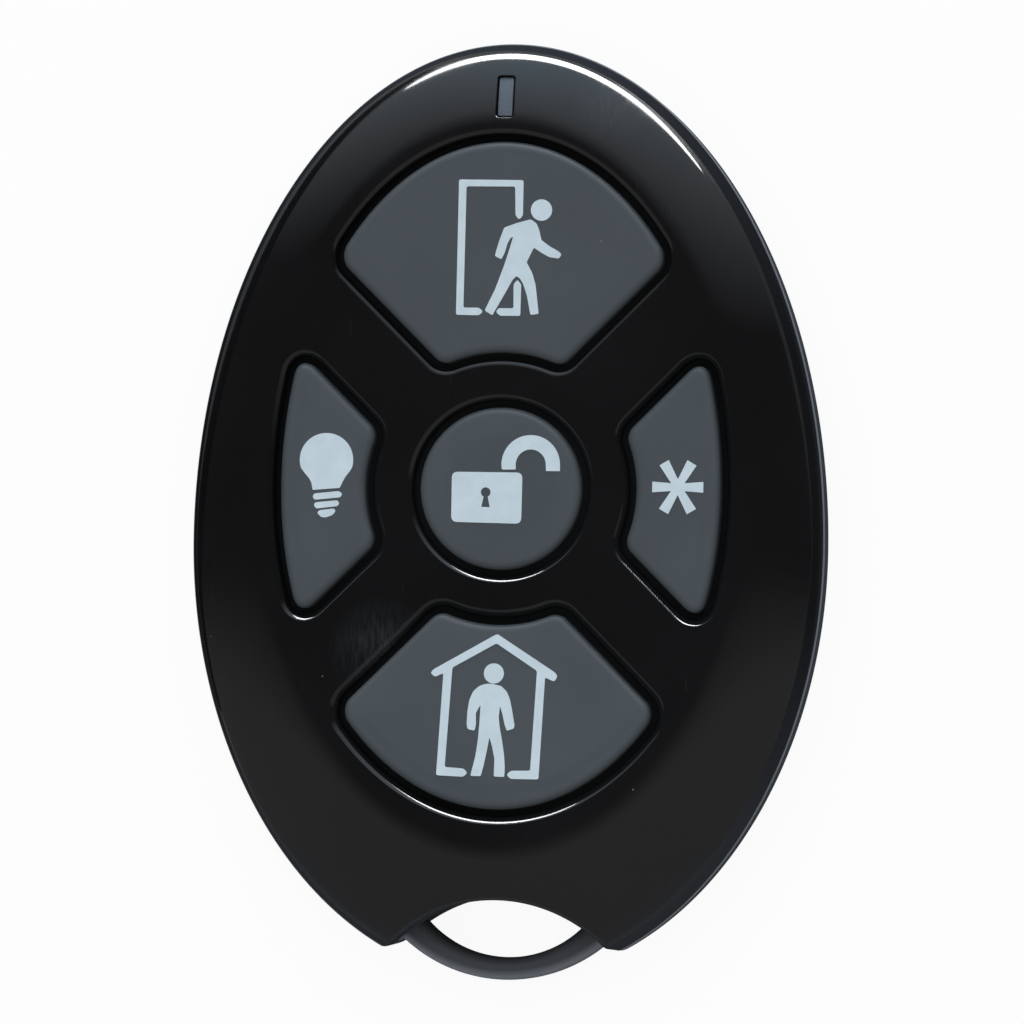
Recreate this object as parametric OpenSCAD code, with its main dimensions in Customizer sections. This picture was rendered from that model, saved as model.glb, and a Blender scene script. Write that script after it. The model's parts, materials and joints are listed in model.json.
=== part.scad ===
// Alarm key fob: two covers, five keys on a silicone mat, a board with switches and a coin cell.
// It lies on its back: +Z is the front, +Y is the nose with the status light.

/* [Case] */
// Overall width across the widest line
case_w = 40.7; // [38:0.1:46]
// Overall length, nose to the outside of the key-ring loop
case_l = 60; // [58:0.5:68]
// How far the widest line lies below the middle of the length
widest_drop = 2; // [0:0.1:3]
// Wall thickness of both covers
wall = 1.4; // [1.2:0.1:1.8]
// Floor thickness of the rear cover
floor_t = 1.2; // [1:0.1:2]
// Radius that rolls the rear cover's floor into its sides
belly_r = 4; // [3.8:0.1:5.2]
// Height of the parting line above the board
parting_rise = 0.6; // [0.4:0.1:1]
// Thickness of the rear cover's locating lip
lip_t = 0.6; // [0.5:0.1:0.8]
// Height of the locating lip
lip_h = 0.8; // [0.5:0.1:1]
// Clearance between fitted case parts
fit_gap = 0.1; // [0.05:0.01:0.15]

/* [Front face] */
// Width of the sloped rim at the sides, from the outline to the ridge
rim_side = 5.29; // [4.8:0.1:6]
// Width of the sloped rim at the nose
rim_nose = 5.4; // [5:0.1:6]
// Width of the sloped rim at the key-ring end
rim_tail = 8.8; // [8.2:0.1:9.4]
// Height that the rim gains from the shoulder to the ridge
rim_rise = 2.2; // [1.6:0.1:2.6]
// How far the shoulder lies inside the outline
shoulder_inset = 0.67; // [0.5:0.01:0.9]
// Radius of the shoulder
shoulder_r = 0.55; // [0.3:0.05:0.7]
// Depth of the dish below the ridge
dish_depth = 0.6; // [0.3:0.1:0.9]
// Thickness of the front cover in the middle of the dish
web_t = 1.2; // [1:0.1:1.6]

/* [Keys] */
// Radius of the round centre key
disarm_r = 5.15; // [4.8:0.05:5.6]
// Distance from the centre key to the keys around it
key_spacing = 3.5; // [3:0.1:4]
// Half the strut beside the long keys
strut_long = 2.8; // [2.5:0.1:3.2]
// Half the strut beside the side keys
strut_side = 3.1; // [2.6:0.05:3.2]
// Distance from the ridge to the side keys
margin_side = 1.02; // [0.9:0.02:1.4]
// Distance from the ridge to the upper key
margin_nose = 1.2; // [0.8:0.05:1.4]
// Distance from the ridge to the lower key
margin_tail = 2.25; // [1.6:0.05:2.6]
// Radius of the keys' outer corners, seen from the front
key_corner_r = 1.2; // [1.1:0.1:1.4]
// Radius of the keys' corners beside the round centre key
key_tip_r = 0.6; // [0.5:0.1:1.1]
// Radius of the keys' upper edges
key_edge_r = 0.5; // [0.3:0.05:0.5]
// How far the keys stand above the dish
key_proud = 0.1; // [0:0.05:0.6]
// Clearance between a key and its opening
key_gap = 0.45; // [0.3:0.05:0.5]
// Radius on the upper edge of the key openings
opening_edge_r = 0.4; // [0.2:0.05:0.4]
// Width of the flange that keeps a key behind the cover
flange_w = 0.65; // [0.5:0.05:0.8]
// Thickness of the flange
flange_t = 0.6; // [0.4:0.1:0.9]
// How far a key travels when it is pressed
key_travel = 0.4; // [0.25:0.05:0.5]
// Radius of the stem under each key
stem_r = 1.7; // [1.4:0.1:2]
// Length of the stem below the flange
stem_h = 0.9; // [0.8:0.1:1.2]

/* [Status light] */
// Width of the status light's slot
slot_w = 1.1; // [0.9:0.05:1.4]
// Length of the status light's slot
slot_l = 2.7; // [2.4:0.1:3]
// Distance from the nose to the middle of the slot
slot_inset = 3.7; // [3.4:0.05:3.8]
// How far the light pipe lies below the rim
slot_recess = 0.25; // [0.1:0.05:0.4]
// Clearance round the light pipe
pipe_gap = 0.08; // [0.05:0.01:0.1]

/* [Key-ring end] */
// Radius of the notch in both covers
notch_r = 9.4; // [8.6:0.1:10]
// Distance from the end of the loop to the top of the notch
notch_depth = 5.3; // [5:0.1:5.6]
// Radius of the rounded lobes beside the notch
lobe_r = 1.3; // [1:0.1:1.6]
// Width of the loop's bar in the middle
loop_w = 1.45; // [1.2:0.05:1.8]
// Height of the loop's bar
loop_h = 3.2; // [2.4:0.1:3.6]
// How far the loop's bar lies below the parting line
loop_drop = 1.4; // [1:0.1:1.8]
// Radius of the loop's outer edge
loop_outer_r = 9.9; // [9:0.1:11]
// Radius of the loop's inner edge
loop_inner_r = 6.9; // [6:0.1:7.6]

/* [Inside] */
// Diameter of the coin cell
cell_d = 20; // [20:0.1:20.2]
// Height of the coin cell
cell_h = 3.2; // [3:0.1:3.4]
// Thickness of the battery clip's strip
clip_t = 0.25; // [0.2:0.05:0.35]
// Width of the battery clip's strip
clip_w = 5; // [3:0.5:7]
// Height of the leaf between the cell and the board
contact_h = 0.6; // [0.4:0.1:0.9]
// Thickness of the circuit board
board_t = 1; // [0.8:0.1:1.6]
// Clearance round the circuit board
board_gap = 0.3; // [0.2:0.05:0.5]
// Width of a switch
switch_w = 4.2; // [3.8:0.1:4.4]
// Height of a switch
switch_h = 1.3; // [1.2:0.1:1.6]
// Radius of a switch's plunger
plunger_r = 1.3; // [1:0.1:1.5]
// Clearance round a plunger
plunger_gap = 0.15; // [0.1:0.05:0.2]
// How far a plunger stands above its switch
plunger_rise = 0.5; // [0.5:0.05:0.8]
// Thickness of the silicone mat
mat_t = 0.5; // [0.4:0.1:0.6]
// Thickness of the mat's rim
mat_rim_t = 0.7; // [0.5:0.1:0.8]
// Clearance between the mat and what passes or moves over it
mat_gap = 0.25; // [0.2:0.05:0.3]
// Radius of the posts and bosses that hold the board
boss_r = 1.7; // [1.5:0.1:1.9]
// How far the bosses lie outside the ridge
boss_out = 0.8; // [0.5:0.1:1]
// Radius of a screw's shank
screw_r = 0.95; // [0.8:0.05:1]
// Radius of a screw's head
screw_head_r = 1.8; // [1.6:0.1:2]
// Height of a screw's head
screw_head_h = 1.2; // [1:0.1:1.4]
// Clearance round the screws and locating pins
screw_gap = 0.12; // [0.1:0.01:0.2]

/* [Hidden] */
$fn = 48;
EGG_SIDES = 72;
CUT = 1;
HALF_W = case_w / 2;
NOSE = case_l / 2;
TAIL = -case_l / 2;

// Heights, from the floor up
CLIP_Z = floor_t + fit_gap;
CELL_Z = CLIP_Z + clip_t;
CELL_TOP = CELL_Z + cell_h;
BOARD_Z = CELL_TOP + contact_h;
BOARD_TOP = BOARD_Z + board_t;
PARTING = BOARD_TOP + parting_rise;
SWITCH_TOP = BOARD_TOP + switch_h;
PLUNGER_TOP = SWITCH_TOP + plunger_rise;
SWITCH_FLOOR = 0.3;
PLUNGER_FOOT = BOARD_TOP + SWITCH_FLOOR + key_travel + fit_gap;
FLANGE_Z = PLUNGER_TOP + stem_h;
FLANGE_TOP = FLANGE_Z + flange_t;
CEILING = FLANGE_TOP + fit_gap;
DISH_FLOOR = CEILING + web_t;
RIDGE_Z = DISH_FLOOR + dish_depth;
SHOULDER_Z = RIDGE_Z - rim_rise;
MAT_TOP = FLANGE_Z - key_travel - mat_gap;

// The ridge between rim and dish is an ellipse
RIDGE_A = HALF_W - rim_side;
RIDGE_NOSE = NOSE - rim_nose;
RIDGE_TAIL = TAIL + rim_tail;
RIDGE_Y = (RIDGE_NOSE + RIDGE_TAIL) / 2;
RIDGE_B = (RIDGE_NOSE - RIDGE_TAIL) / 2;
RIM_STEEP = 45;
RIM_FLAT = 8;
RIM_STEPS = 6;
DISH_STEPS = 4;

// The keys lie about one centre, a little below the middle of the ridge
KEY_DROP = 0.3;
KEY_Y = RIDGE_Y - KEY_DROP;
KEY_IN_R = disarm_r + key_spacing;
KEY_A = RIDGE_A - margin_side;
KEY_NOSE = RIDGE_NOSE - margin_nose - KEY_Y;
KEY_TAIL = KEY_Y - RIDGE_TAIL - margin_tail;
DIAGONAL = 45;
CORNER_STEPS = 5;
ARC_STEPS = 10;

// Posts and screw bosses stand where the struts reach the rim
BOSS_A = RIDGE_A + boss_out;
BOSS_B = RIDGE_B + boss_out;
BOSS_T = BOSS_A * BOSS_B / norm([BOSS_A, BOSS_B]);
SCREW_PLACES = [for (side = [-1, 1]) [side * BOSS_T, RIDGE_Y - BOSS_T]];
PIN_PLACES = [for (side = [-1, 1]) [side * BOSS_T, RIDGE_Y + BOSS_T]];
BOSS_ROOT = 0.3;
BOSS_FOOT_WALL = 1;
BOSS_FOOT_R = screw_head_r + screw_gap + BOSS_FOOT_WALL;
SEAT_RISE = 0.5;
SCREW_SEAT = floor_t + SEAT_RISE;
SCREW_HOLE_R = screw_r + screw_gap;
PILOT_R = screw_r + fit_gap / 2;
PILOT_DEPTH = 2.8;
PIN_R = 0.7;
PIN_H = 0.5;
PIN_HOLE_R = PIN_R + screw_gap;

// The mat ends a little inside the ridge
MAT_INSET = 0.4;

// Key-ring notch and loop
NOTCH_C = [0, TAIL + notch_depth - notch_r];
LOBE_BITE = 0.1;
LOBE_FLARE = [2, -4];
LOOP_TOP = PARTING - loop_drop;
LOOP_STEPS = 14;
LOOP_SIDES = 12;
LOOP_SQUARENESS = 0.7;
LOOP_OUT_Y = TAIL + loop_outer_r;
LOOP_IN_Y = TAIL + loop_w + loop_inner_r;

// Status light
SLOT_Y = NOSE - slot_inset;
PIPE_FLANGE_W = 0.4;
PIPE_FLANGE_T = 0.5;
LED_SIZE = [0.8, 1.6, 0.6];
PIPE_LED_GAP = 0.15;

// Catch at the nose: two hooks of the front cover under the rear cover's lip
HOOK_X = [1.8, 4.2];
HOOK_T = 0.8;
HOOK_BITE = lip_t / 2;
HOOK_H = 0.35;
HOOK_Z = BOARD_TOP + fit_gap;

// Parts on the board: size and place
CHIP_Y = 5.2;
CONTROLLER = [5, 4.4, 1];
TRANSMITTER = [4, 4, 0.9];
CRYSTAL = [3.2, 2.5, 0.8];
CAPACITOR = [1, 0.5, 0.5];
CAPACITOR_STEP = 1.8;
CAPACITOR_COUNT = 3;
CHIP_GAP = 3;
CLIP_FOOT = 2;
CONTACT_R = 5;
CONTACT_W = 3;
CELL_RIM = 1.2;
CELL_CAP_R = cell_d / 2 - CELL_RIM;
CELL_STEP = 0.4;
ANTENNA_IN = 2.8;
ANTENNA_T = 0.6;
ANTENNA_H = 0.6;
ANTENNA_Y = [-7.5, 11.5];

// Case outline: two half ellipses that share the widest line, drawn in by an inset
function egg_point(a, nose, tail, widest, t) =
    [a * cos(t), widest + (sin(t) > 0 ? nose - widest : widest - tail) * sin(t)];
function egg(inset) = [for (i = [0 : EGG_SIDES - 1])
    egg_point(HALF_W - inset, NOSE - inset, TAIL + inset, -widest_drop, i * 360 / EGG_SIDES)];
function ridge(share) = [for (i = [0 : EGG_SIDES - 1])
    let (t = i * 360 / EGG_SIDES) [share * RIDGE_A * cos(t), RIDGE_Y + share * RIDGE_B * sin(t)]];
function blend(from, to, share) = [for (i = [0 : len(from) - 1]) from[i] * (1 - share) + to[i] * share];

// Surface of the front face
function dish_z(p) =
    DISH_FLOOR + dish_depth * (pow(p.x / RIDGE_A, 2) + pow((p.y - RIDGE_Y) / RIDGE_B, 2));
function rim_share(slope) = (sin(RIM_STEEP) - sin(slope)) / (sin(RIM_STEEP) - sin(RIM_FLAT));
function rim_z(slope) =
    SHOULDER_Z + rim_rise * (cos(slope) - cos(RIM_STEEP)) / (cos(RIM_FLAT) - cos(RIM_STEEP));
// Slope and height of the rim along the nose's middle line
function nose_slope(y) =
    let (share = (NOSE - shoulder_inset - y) / (NOSE - shoulder_inset - RIDGE_NOSE))
    asin(sin(RIM_STEEP) - share * (sin(RIM_STEEP) - sin(RIM_FLAT)));
function nose_z(y) = rim_z(nose_slope(y));

// Rings of points for lofts
function lift(outline, z) = [for (p = outline) [p.x, p.y, z]];
function drape(outline, rise) = [for (p = outline) [p.x, p.y, dish_z(p) + rise]];
function outward(outline, i) =
    let (n = len(outline), along = outline[(i + 1) % n] - outline[(i + n - 1) % n])
    [along.y, -along.x] / norm(along);
function grow(outline, d) = [for (i = [0 : len(outline) - 1]) outline[i] + d * outward(outline, i)];
function shrink_to(outline, centre, share) = [for (p = outline) centre + (p - centre) * share];

// Solid through rings of equal length, closed by fans to a lower and an upper point
module loft(rings, low, high) {
    n = len(rings[0]);
    m = len(rings);
    points = concat([for (ring = rings, p = ring) p], [low, high]);
    sides = [for (j = [0 : m - 2], i = [0 : n - 1])
        let (k = (i + 1) % n, a = j * n, b = a + n)
        each [[a + i, b + i, b + k], [a + i, b + k, a + k]]];
    caps = [for (i = [0 : n - 1])
        let (k = (i + 1) % n)
        each [[m * n, i, k], [m * n + 1, (m - 1) * n + k, (m - 1) * n + i]]];
    polyhedron(points = points, faces = concat(sides, caps));
}

module egg_plate(inset, z0, z1) {
    translate([0, 0, z0]) linear_extrude(z1 - z0) polygon(egg(inset));
}

// Key outlines: sectors between a circle and the key field's edge, with straight sides along the struts
function key_dir(name) = name == "away" ? 90 : name == "stay" ? 270 : name == "light" ? 180 : 0;
function key_strut(name) = name == "away" || name == "stay" ? strut_long : strut_side;
function field_r(t) = 1 / norm([cos(t) / KEY_A, sin(t) / (sin(t) > 0 ? KEY_NOSE : KEY_TAIL)]);
function half_angle(r, strut) = DIAGONAL - asin(strut / r);
function sector_r(t, v) = KEY_IN_R + v * (field_r(t) - KEY_IN_R);
// Turns a place across (u, -1 to 1) and along (v, 0 to 1) the sector into a point.
// The angle depends on the radius and the radius on the angle, so it closes in on both.
function sector_point(dir, strut, u, v, t, steps = 4) =
    let (r = sector_r(t, v), turned = dir + u * half_angle(r, strut))
    steps == 0 ? [r * cos(turned), KEY_Y + r * sin(turned)]
               : sector_point(dir, strut, u, v, turned, steps - 1);
function sector_outline(dir, strut) =
    let (
        to_rad = PI / 180,
        wide_in = KEY_IN_R * half_angle(KEY_IN_R, strut) * to_rad,
        r_out = field_r(dir + DIAGONAL / 2),
        wide_out = r_out * half_angle(r_out, strut) * to_rad,
        ui = key_tip_r / wide_in,
        vi = key_tip_r / (r_out - KEY_IN_R),
        uo = key_corner_r / wide_out,
        vo = key_corner_r / (r_out - KEY_IN_R),
        quarter = [for (i = [0 : CORNER_STEPS]) 90 * i / CORNER_STEPS],
        across = [for (i = [1 : ARC_STEPS - 1]) 1 - 2 * i / ARC_STEPS],
        places = concat(
            [for (s = across) [s * (1 - ui), 0]],
            [for (q = quarter) [-(1 - ui) - ui * sin(q), vi * (1 - cos(q))]],
            [[-1, 0.5]],
            [for (q = quarter) [-(1 - uo) - uo * cos(q), 1 - vo + vo * sin(q)]],
            [for (s = across) [-s * (1 - uo), 1]],
            [for (q = quarter) [1 - uo + uo * sin(q), 1 - vo + vo * cos(q)]],
            [[1, 0.5]],
            [for (q = quarter) [1 - ui + ui * cos(q), vi * (1 - sin(q))]]
        )
    )
    [for (p = places) sector_point(dir, strut, p.x, p.y, dir)];
function key_outline(name) = name == "disarm"
    ? [for (i = [0 : $fn - 1]) [disarm_r * cos(i * 360 / $fn), KEY_Y + disarm_r * sin(i * 360 / $fn)]]
    : sector_outline(key_dir(name), key_strut(name));
function key_centre(name) = name == "disarm"
    ? [0, KEY_Y]
    : sector_point(key_dir(name), key_strut(name), 0, 0.5, key_dir(name));
KEY_NAMES = ["away", "disarm", "stay", "light", "star"];

module key(name) {
    outline = key_outline(name);
    centre = key_centre(name);
    foot = grow(outline, flange_w);
    top = grow(outline, -key_edge_r);
    edge = [for (q = [0 : 30 : 90])
        drape(grow(outline, -key_edge_r * (1 - cos(q))), key_proud - key_edge_r * (1 - sin(q)))];
    color("dimgray") union() {
        loft(concat(
                [lift(foot, FLANGE_Z), lift(foot, FLANGE_TOP), lift(outline, FLANGE_TOP)],
                edge,
                [drape(shrink_to(top, centre, 0.5), key_proud)]
            ),
            [centre.x, centre.y, FLANGE_Z],
            [centre.x, centre.y, dish_z(centre) + key_proud]);
        translate([centre.x, centre.y, PLUNGER_TOP]) cylinder(r = stem_r, h = stem_h + flange_t / 2);
    }
}

// Opening for a key, with its rounded upper edge lying in the dish
module key_opening(name) {
    outline = grow(key_outline(name), key_gap);
    centre = key_centre(name);
    edge = [for (q = [0 : 45 : 90])
        drape(grow(outline, opening_edge_r * (1 - cos(q))), -opening_edge_r * (1 - sin(q)))];
    loft(concat(
            [lift(outline, CEILING - CUT)],
            edge,
            [drape(grow(outline, opening_edge_r), CUT)]
        ),
        [centre.x, centre.y, CEILING - CUT],
        [centre.x, centre.y, dish_z(centre) + CUT]);
}

module switch_body(name) {
    centre = key_centre(name);
    color("black") translate([centre.x, centre.y, BOARD_TOP]) difference() {
        translate([-switch_w / 2, -switch_w / 2, 0]) cube([switch_w, switch_w, switch_h]);
        translate([0, 0, SWITCH_FLOOR]) cylinder(r = plunger_r + plunger_gap, h = switch_h);
    }
}

module plunger(name) {
    centre = key_centre(name);
    color("ivory") translate([centre.x, centre.y, PLUNGER_FOOT])
        cylinder(r = plunger_r, h = PLUNGER_TOP - PLUNGER_FOOT);
}

// Key-ring notch, seen from the front: a round bite whose corners run into round lobes
function lobe_y(x) =
    let (inset = lobe_r - LOBE_BITE)
    -widest_drop + (TAIL + inset + widest_drop) * sqrt(1 - pow(x / (HALF_W - inset), 2));
function lobe_gap(x) = norm([x, lobe_y(x)] - NOTCH_C) - notch_r - lobe_r;
// Halves the range until the lobe touches the notch
function lobe_x(low, high, steps = 24) =
    let (middle = (low + high) / 2)
    steps == 0 ? middle
               : lobe_gap(middle) > 0 ? lobe_x(low, middle, steps - 1) : lobe_x(middle, high, steps - 1);

module notch_2d() {
    x = lobe_x(0, HALF_W / 2);
    lobe = [x, lobe_y(x)];
    outside = lobe + LOBE_FLARE * lobe_r;
    translate(NOTCH_C) circle(r = notch_r);
    for (side = [0, 1]) mirror([side, 0]) difference() {
        polygon([NOTCH_C, lobe, outside]);
        translate(lobe) circle(r = lobe_r);
    }
}

module notch(z0, z1) {
    translate([0, 0, z0]) linear_extrude(z1 - z0) notch_2d();
}

// Round wall that both covers keep behind the notch
module notch_wall(extra, z0, z1) {
    translate([NOTCH_C.x, NOTCH_C.y, z0]) cylinder(r = notch_r + wall + extra, h = z1 - z0, $fn = 96);
}

// Angle at which a loop edge of radius r about height y runs into the middle of the notch wall
function loop_end(y, r) =
    let (
        reach = notch_r + wall / 2,
        meet = (pow(r, 2) - pow(reach, 2) - pow(y, 2) + pow(NOTCH_C.y, 2)) / (2 * (NOTCH_C.y - y))
    )
    acos((y - meet) / r);
function loop_point(y, r, share) =
    let (t = share * loop_end(y, r))
    [r * sin(t), y - r * cos(t)];
function squared(x) = sign(x) * pow(abs(x), LOOP_SQUARENESS);

module loop_bar() {
    sections = [for (j = [LOOP_STEPS : -1 : -LOOP_STEPS])
        let (
            outer = loop_point(LOOP_OUT_Y, loop_outer_r, j / LOOP_STEPS),
            inner = loop_point(LOOP_IN_Y, loop_inner_r, j / LOOP_STEPS),
            middle = (outer + inner) / 2,
            half = (outer - inner) / 2
        )
        [for (i = [0 : LOOP_SIDES - 1])
            let (t = i * 360 / LOOP_SIDES, p = middle + half * squared(cos(t)))
            [p.x, p.y, LOOP_TOP - loop_h / 2 * (1 - squared(sin(t)))]]];
    ends = [for (ring = [sections[0], sections[2 * LOOP_STEPS]])
        [for (k = [0 : 2]) [for (p = ring) p[k]] * [for (p = ring) 1] / LOOP_SIDES]];
    loft(sections, ends[0], ends[1]);
}

module stadium(w, l, grow) {
    for (side = [-1, 1]) translate([0, side * (l - w) / 2]) circle(r = w / 2 + grow);
    square([w + 2 * grow, l - w], center = true);
}

module front_body() {
    shoulder = egg(shoulder_inset);
    corner = [for (q = [0 : RIM_STEEP / 3 : RIM_STEEP])
        lift(egg(shoulder_inset + shoulder_r * (cos(RIM_STEEP) - cos(q))),
            SHOULDER_Z + shoulder_r * (sin(q) - sin(RIM_STEEP)))];
    rim = [for (j = [1 : RIM_STEPS])
        let (slope = RIM_STEEP + (RIM_FLAT - RIM_STEEP) * j / RIM_STEPS)
        lift(blend(shoulder, ridge(1), rim_share(slope)), rim_z(slope))];
    dish = [for (j = [DISH_STEPS - 1 : -1 : 1]) drape(ridge(j / DISH_STEPS), 0)];
    loft(concat([lift(egg(0), PARTING)], corner, rim, dish),
        [0, RIDGE_Y, PARTING], [0, RIDGE_Y, DISH_FLOOR]);
}

module front_hollow() {
    rebate = wall - lip_t - fit_gap;
    rebate_top = PARTING + lip_h + fit_gap;
    haunch = SHOULDER_Z - wall / 2;
    difference() {
        loft([
                lift(egg(rebate), PARTING - CUT), lift(egg(rebate), rebate_top),
                lift(egg(wall), rebate_top), lift(egg(wall + fit_gap), haunch),
                lift(ridge(1), CEILING)
            ],
            [0, RIDGE_Y, PARTING - CUT], [0, RIDGE_Y, CEILING]);
        notch_wall(0, PARTING - 2 * CUT, RIDGE_Z);
    }
}

// Hooks follow the nose inside the rear cover's lip and reach out below it
module nose_hooks() {
    inside = wall + fit_gap;
    for (side = [0, 1]) mirror([side, 0, 0]) {
        intersection() {
            difference() {
                egg_plate(inside, HOOK_Z, SHOULDER_Z - wall / 2 + fit_gap);
                egg_plate(inside + HOOK_T, HOOK_Z - CUT, RIDGE_Z);
            }
            translate([HOOK_X[0], 0, 0]) cube([HOOK_X[1] - HOOK_X[0], NOSE, RIDGE_Z]);
        }
        intersection() {
            difference() {
                egg_plate(inside - HOOK_BITE, HOOK_Z, HOOK_Z + HOOK_H);
                egg_plate(inside + HOOK_T / 2, HOOK_Z - CUT, RIDGE_Z);
            }
            translate([HOOK_X[0], 0, 0]) cube([HOOK_X[1] - HOOK_X[0], NOSE, RIDGE_Z]);
        }
    }
}

module hook_slots() {
    spare = 2 * fit_gap;
    for (side = [0, 1]) mirror([side, 0, 0]) intersection() {
        egg_plate(wall - HOOK_BITE - fit_gap, HOOK_Z - spare, PARTING);
        translate([HOOK_X[0] - spare, NOSE / 2, 0])
            cube([HOOK_X[1] - HOOK_X[0] + 2 * spare, NOSE, RIDGE_Z]);
    }
}

module front_cover() {
    boss_top = CEILING + BOSS_ROOT;
    color("#151618") difference() {
        union() {
            difference() {
                front_body();
                front_hollow();
            }
            for (place = concat(SCREW_PLACES, PIN_PLACES)) translate([place.x, place.y, BOARD_TOP])
                cylinder(r = boss_r, h = boss_top - BOARD_TOP);
            nose_hooks();
        }
        notch(PARTING - CUT, RIDGE_Z + CUT);
        for (name = KEY_NAMES) key_opening(name);
        translate([0, SLOT_Y, PARTING]) linear_extrude(RIDGE_Z) stadium(slot_w, slot_l, 0);
        for (place = SCREW_PLACES) translate([place.x, place.y, BOARD_TOP - CUT])
            cylinder(r = PILOT_R, h = CUT + PILOT_DEPTH);
        for (place = PIN_PLACES) translate([place.x, place.y, BOARD_TOP - CUT])
            cylinder(r = PIN_HOLE_R, h = CUT + PIN_H + fit_gap);
    }
}

module rear_body() {
    belly = [for (q = [0 : 15 : 90]) lift(egg(belly_r * (1 - sin(q))), belly_r * (1 - cos(q)))];
    lip = egg(wall - lip_t);
    loft(concat(belly, [lift(egg(0), PARTING), lift(lip, PARTING), lift(lip, PARTING + lip_h)]),
        [0, 0, 0], [0, 0, PARTING + lip_h]);
}

module rear_hollow() {
    belly = [for (q = [0 : 22.5 : 90])
        lift(egg(wall + (belly_r - wall) * (1 - sin(q))), floor_t + (belly_r - floor_t) * (1 - cos(q)))];
    difference() {
        loft(concat(belly, [lift(egg(wall), PARTING + lip_h + CUT)]),
            [0, 0, floor_t], [0, 0, PARTING + lip_h + CUT]);
        notch_wall(0, 0, PARTING + lip_h + 2 * CUT);
    }
}

module rear_cover() {
    foot = floor_t - fit_gap;
    color("#32373b") difference() {
        union() {
            difference() {
                rear_body();
                rear_hollow();
                notch(-CUT, PARTING + lip_h + CUT);
                notch_wall(fit_gap, PARTING, PARTING + lip_h + CUT);
            }
            loop_bar();
            for (place = SCREW_PLACES) translate([place.x, place.y, foot]) {
                cylinder(r = BOSS_FOOT_R, h = SCREW_SEAT + wall - foot);
                cylinder(r = boss_r, h = BOARD_Z - foot);
            }
            for (place = PIN_PLACES) translate([place.x, place.y, foot]) {
                cylinder(r = boss_r, h = BOARD_Z - foot);
                cylinder(r = PIN_R, h = BOARD_TOP + PIN_H - foot);
            }
        }
        hook_slots();
        for (place = SCREW_PLACES) translate([place.x, place.y, -CUT]) {
            cylinder(r = screw_head_r + screw_gap, h = SCREW_SEAT + CUT);
            cylinder(r = SCREW_HOLE_R, h = BOARD_TOP + CUT);
        }
    }
}

module case_screws() {
    tip = BOARD_TOP + PILOT_DEPTH - fit_gap;
    color("silver") for (place = SCREW_PLACES) translate([place.x, place.y, 0]) {
        translate([0, 0, SCREW_SEAT - screw_head_h]) cylinder(r = screw_head_r, h = screw_head_h);
        translate([0, 0, SCREW_SEAT]) cylinder(r = screw_r, h = tip - SCREW_SEAT);
    }
}

module keypad_mat() {
    edge = shrink_to(ridge(1), [0, RIDGE_Y], 1 - MAT_INSET / RIDGE_B);
    color("#2b2e31") difference() {
        translate([0, 0, BOARD_TOP]) linear_extrude(MAT_TOP - BOARD_TOP) polygon(edge);
        translate([0, 0, BOARD_TOP - CUT]) linear_extrude(MAT_TOP - mat_t - BOARD_TOP + CUT)
            polygon(grow(edge, -mat_rim_t));
        for (name = KEY_NAMES) translate(concat(key_centre(name), BOARD_TOP - CUT))
            cylinder(r = stem_r + mat_gap, h = MAT_TOP);
        for (place = concat(SCREW_PLACES, PIN_PLACES)) translate([place.x, place.y, BOARD_TOP - CUT])
            cylinder(r = boss_r + mat_gap, h = MAT_TOP);
    }
}

module circuit_board() {
    color("darkgreen") difference() {
        egg_plate(wall + board_gap, BOARD_Z, BOARD_TOP);
        notch_wall(board_gap, BOARD_Z - CUT, BOARD_TOP + CUT);
        for (place = SCREW_PLACES) translate([place.x, place.y, BOARD_Z - CUT])
            cylinder(r = SCREW_HOLE_R, h = board_t + 2 * CUT);
        for (place = PIN_PLACES) translate([place.x, place.y, BOARD_Z - CUT])
            cylinder(r = PIN_HOLE_R, h = board_t + 2 * CUT);
    }
}

// The light pipe's upper face follows the rim, a little below it
module light_pipe() {
    foot = BOARD_TOP + LED_SIZE.z + PIPE_LED_GAP;
    flange_z = SHOULDER_Z - wall / 2 - PIPE_FLANGE_T;
    turn = nose_slope(SLOT_Y);
    color("lightsteelblue") translate([0, SLOT_Y, 0]) difference() {
        union() {
            translate([0, 0, foot]) linear_extrude(RIDGE_Z - foot) stadium(slot_w, slot_l, -pipe_gap);
            translate([0, 0, flange_z]) linear_extrude(PIPE_FLANGE_T) stadium(slot_w, slot_l, PIPE_FLANGE_W);
        }
        translate([0, 0, nose_z(SLOT_Y) - slot_recess]) rotate([-turn, 0, 0])
            translate([-slot_l, -2 * slot_l, 0]) cube([2 * slot_l, 4 * slot_l, RIDGE_Z]);
    }
}

module indicator_led() {
    color("white") translate([-LED_SIZE.x / 2, SLOT_Y - LED_SIZE.y / 2, BOARD_TOP]) cube(LED_SIZE);
}

module coin_cell() {
    color("silver") translate([0, KEY_Y, CELL_Z]) {
        cylinder(d = cell_d, h = cell_h - CELL_STEP);
        cylinder(r = CELL_CAP_R, h = cell_h);
    }
}

// Strap under the cell, with feet on the board
module battery_clip() {
    inside = cell_d / 2 + fit_gap;
    outside = inside + clip_t;
    color("silver") translate([0, KEY_Y + clip_w / 2, 0]) rotate([90, 0, 0]) linear_extrude(clip_w) {
        translate([-outside, CLIP_Z]) square([2 * outside, clip_t]);
        for (side = [0, 1]) mirror([side, 0]) {
            translate([inside, CLIP_Z]) square([clip_t, BOARD_Z - CLIP_Z]);
            translate([inside, BOARD_Z - clip_t]) square([CLIP_FOOT, clip_t]);
        }
    }
}

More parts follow.
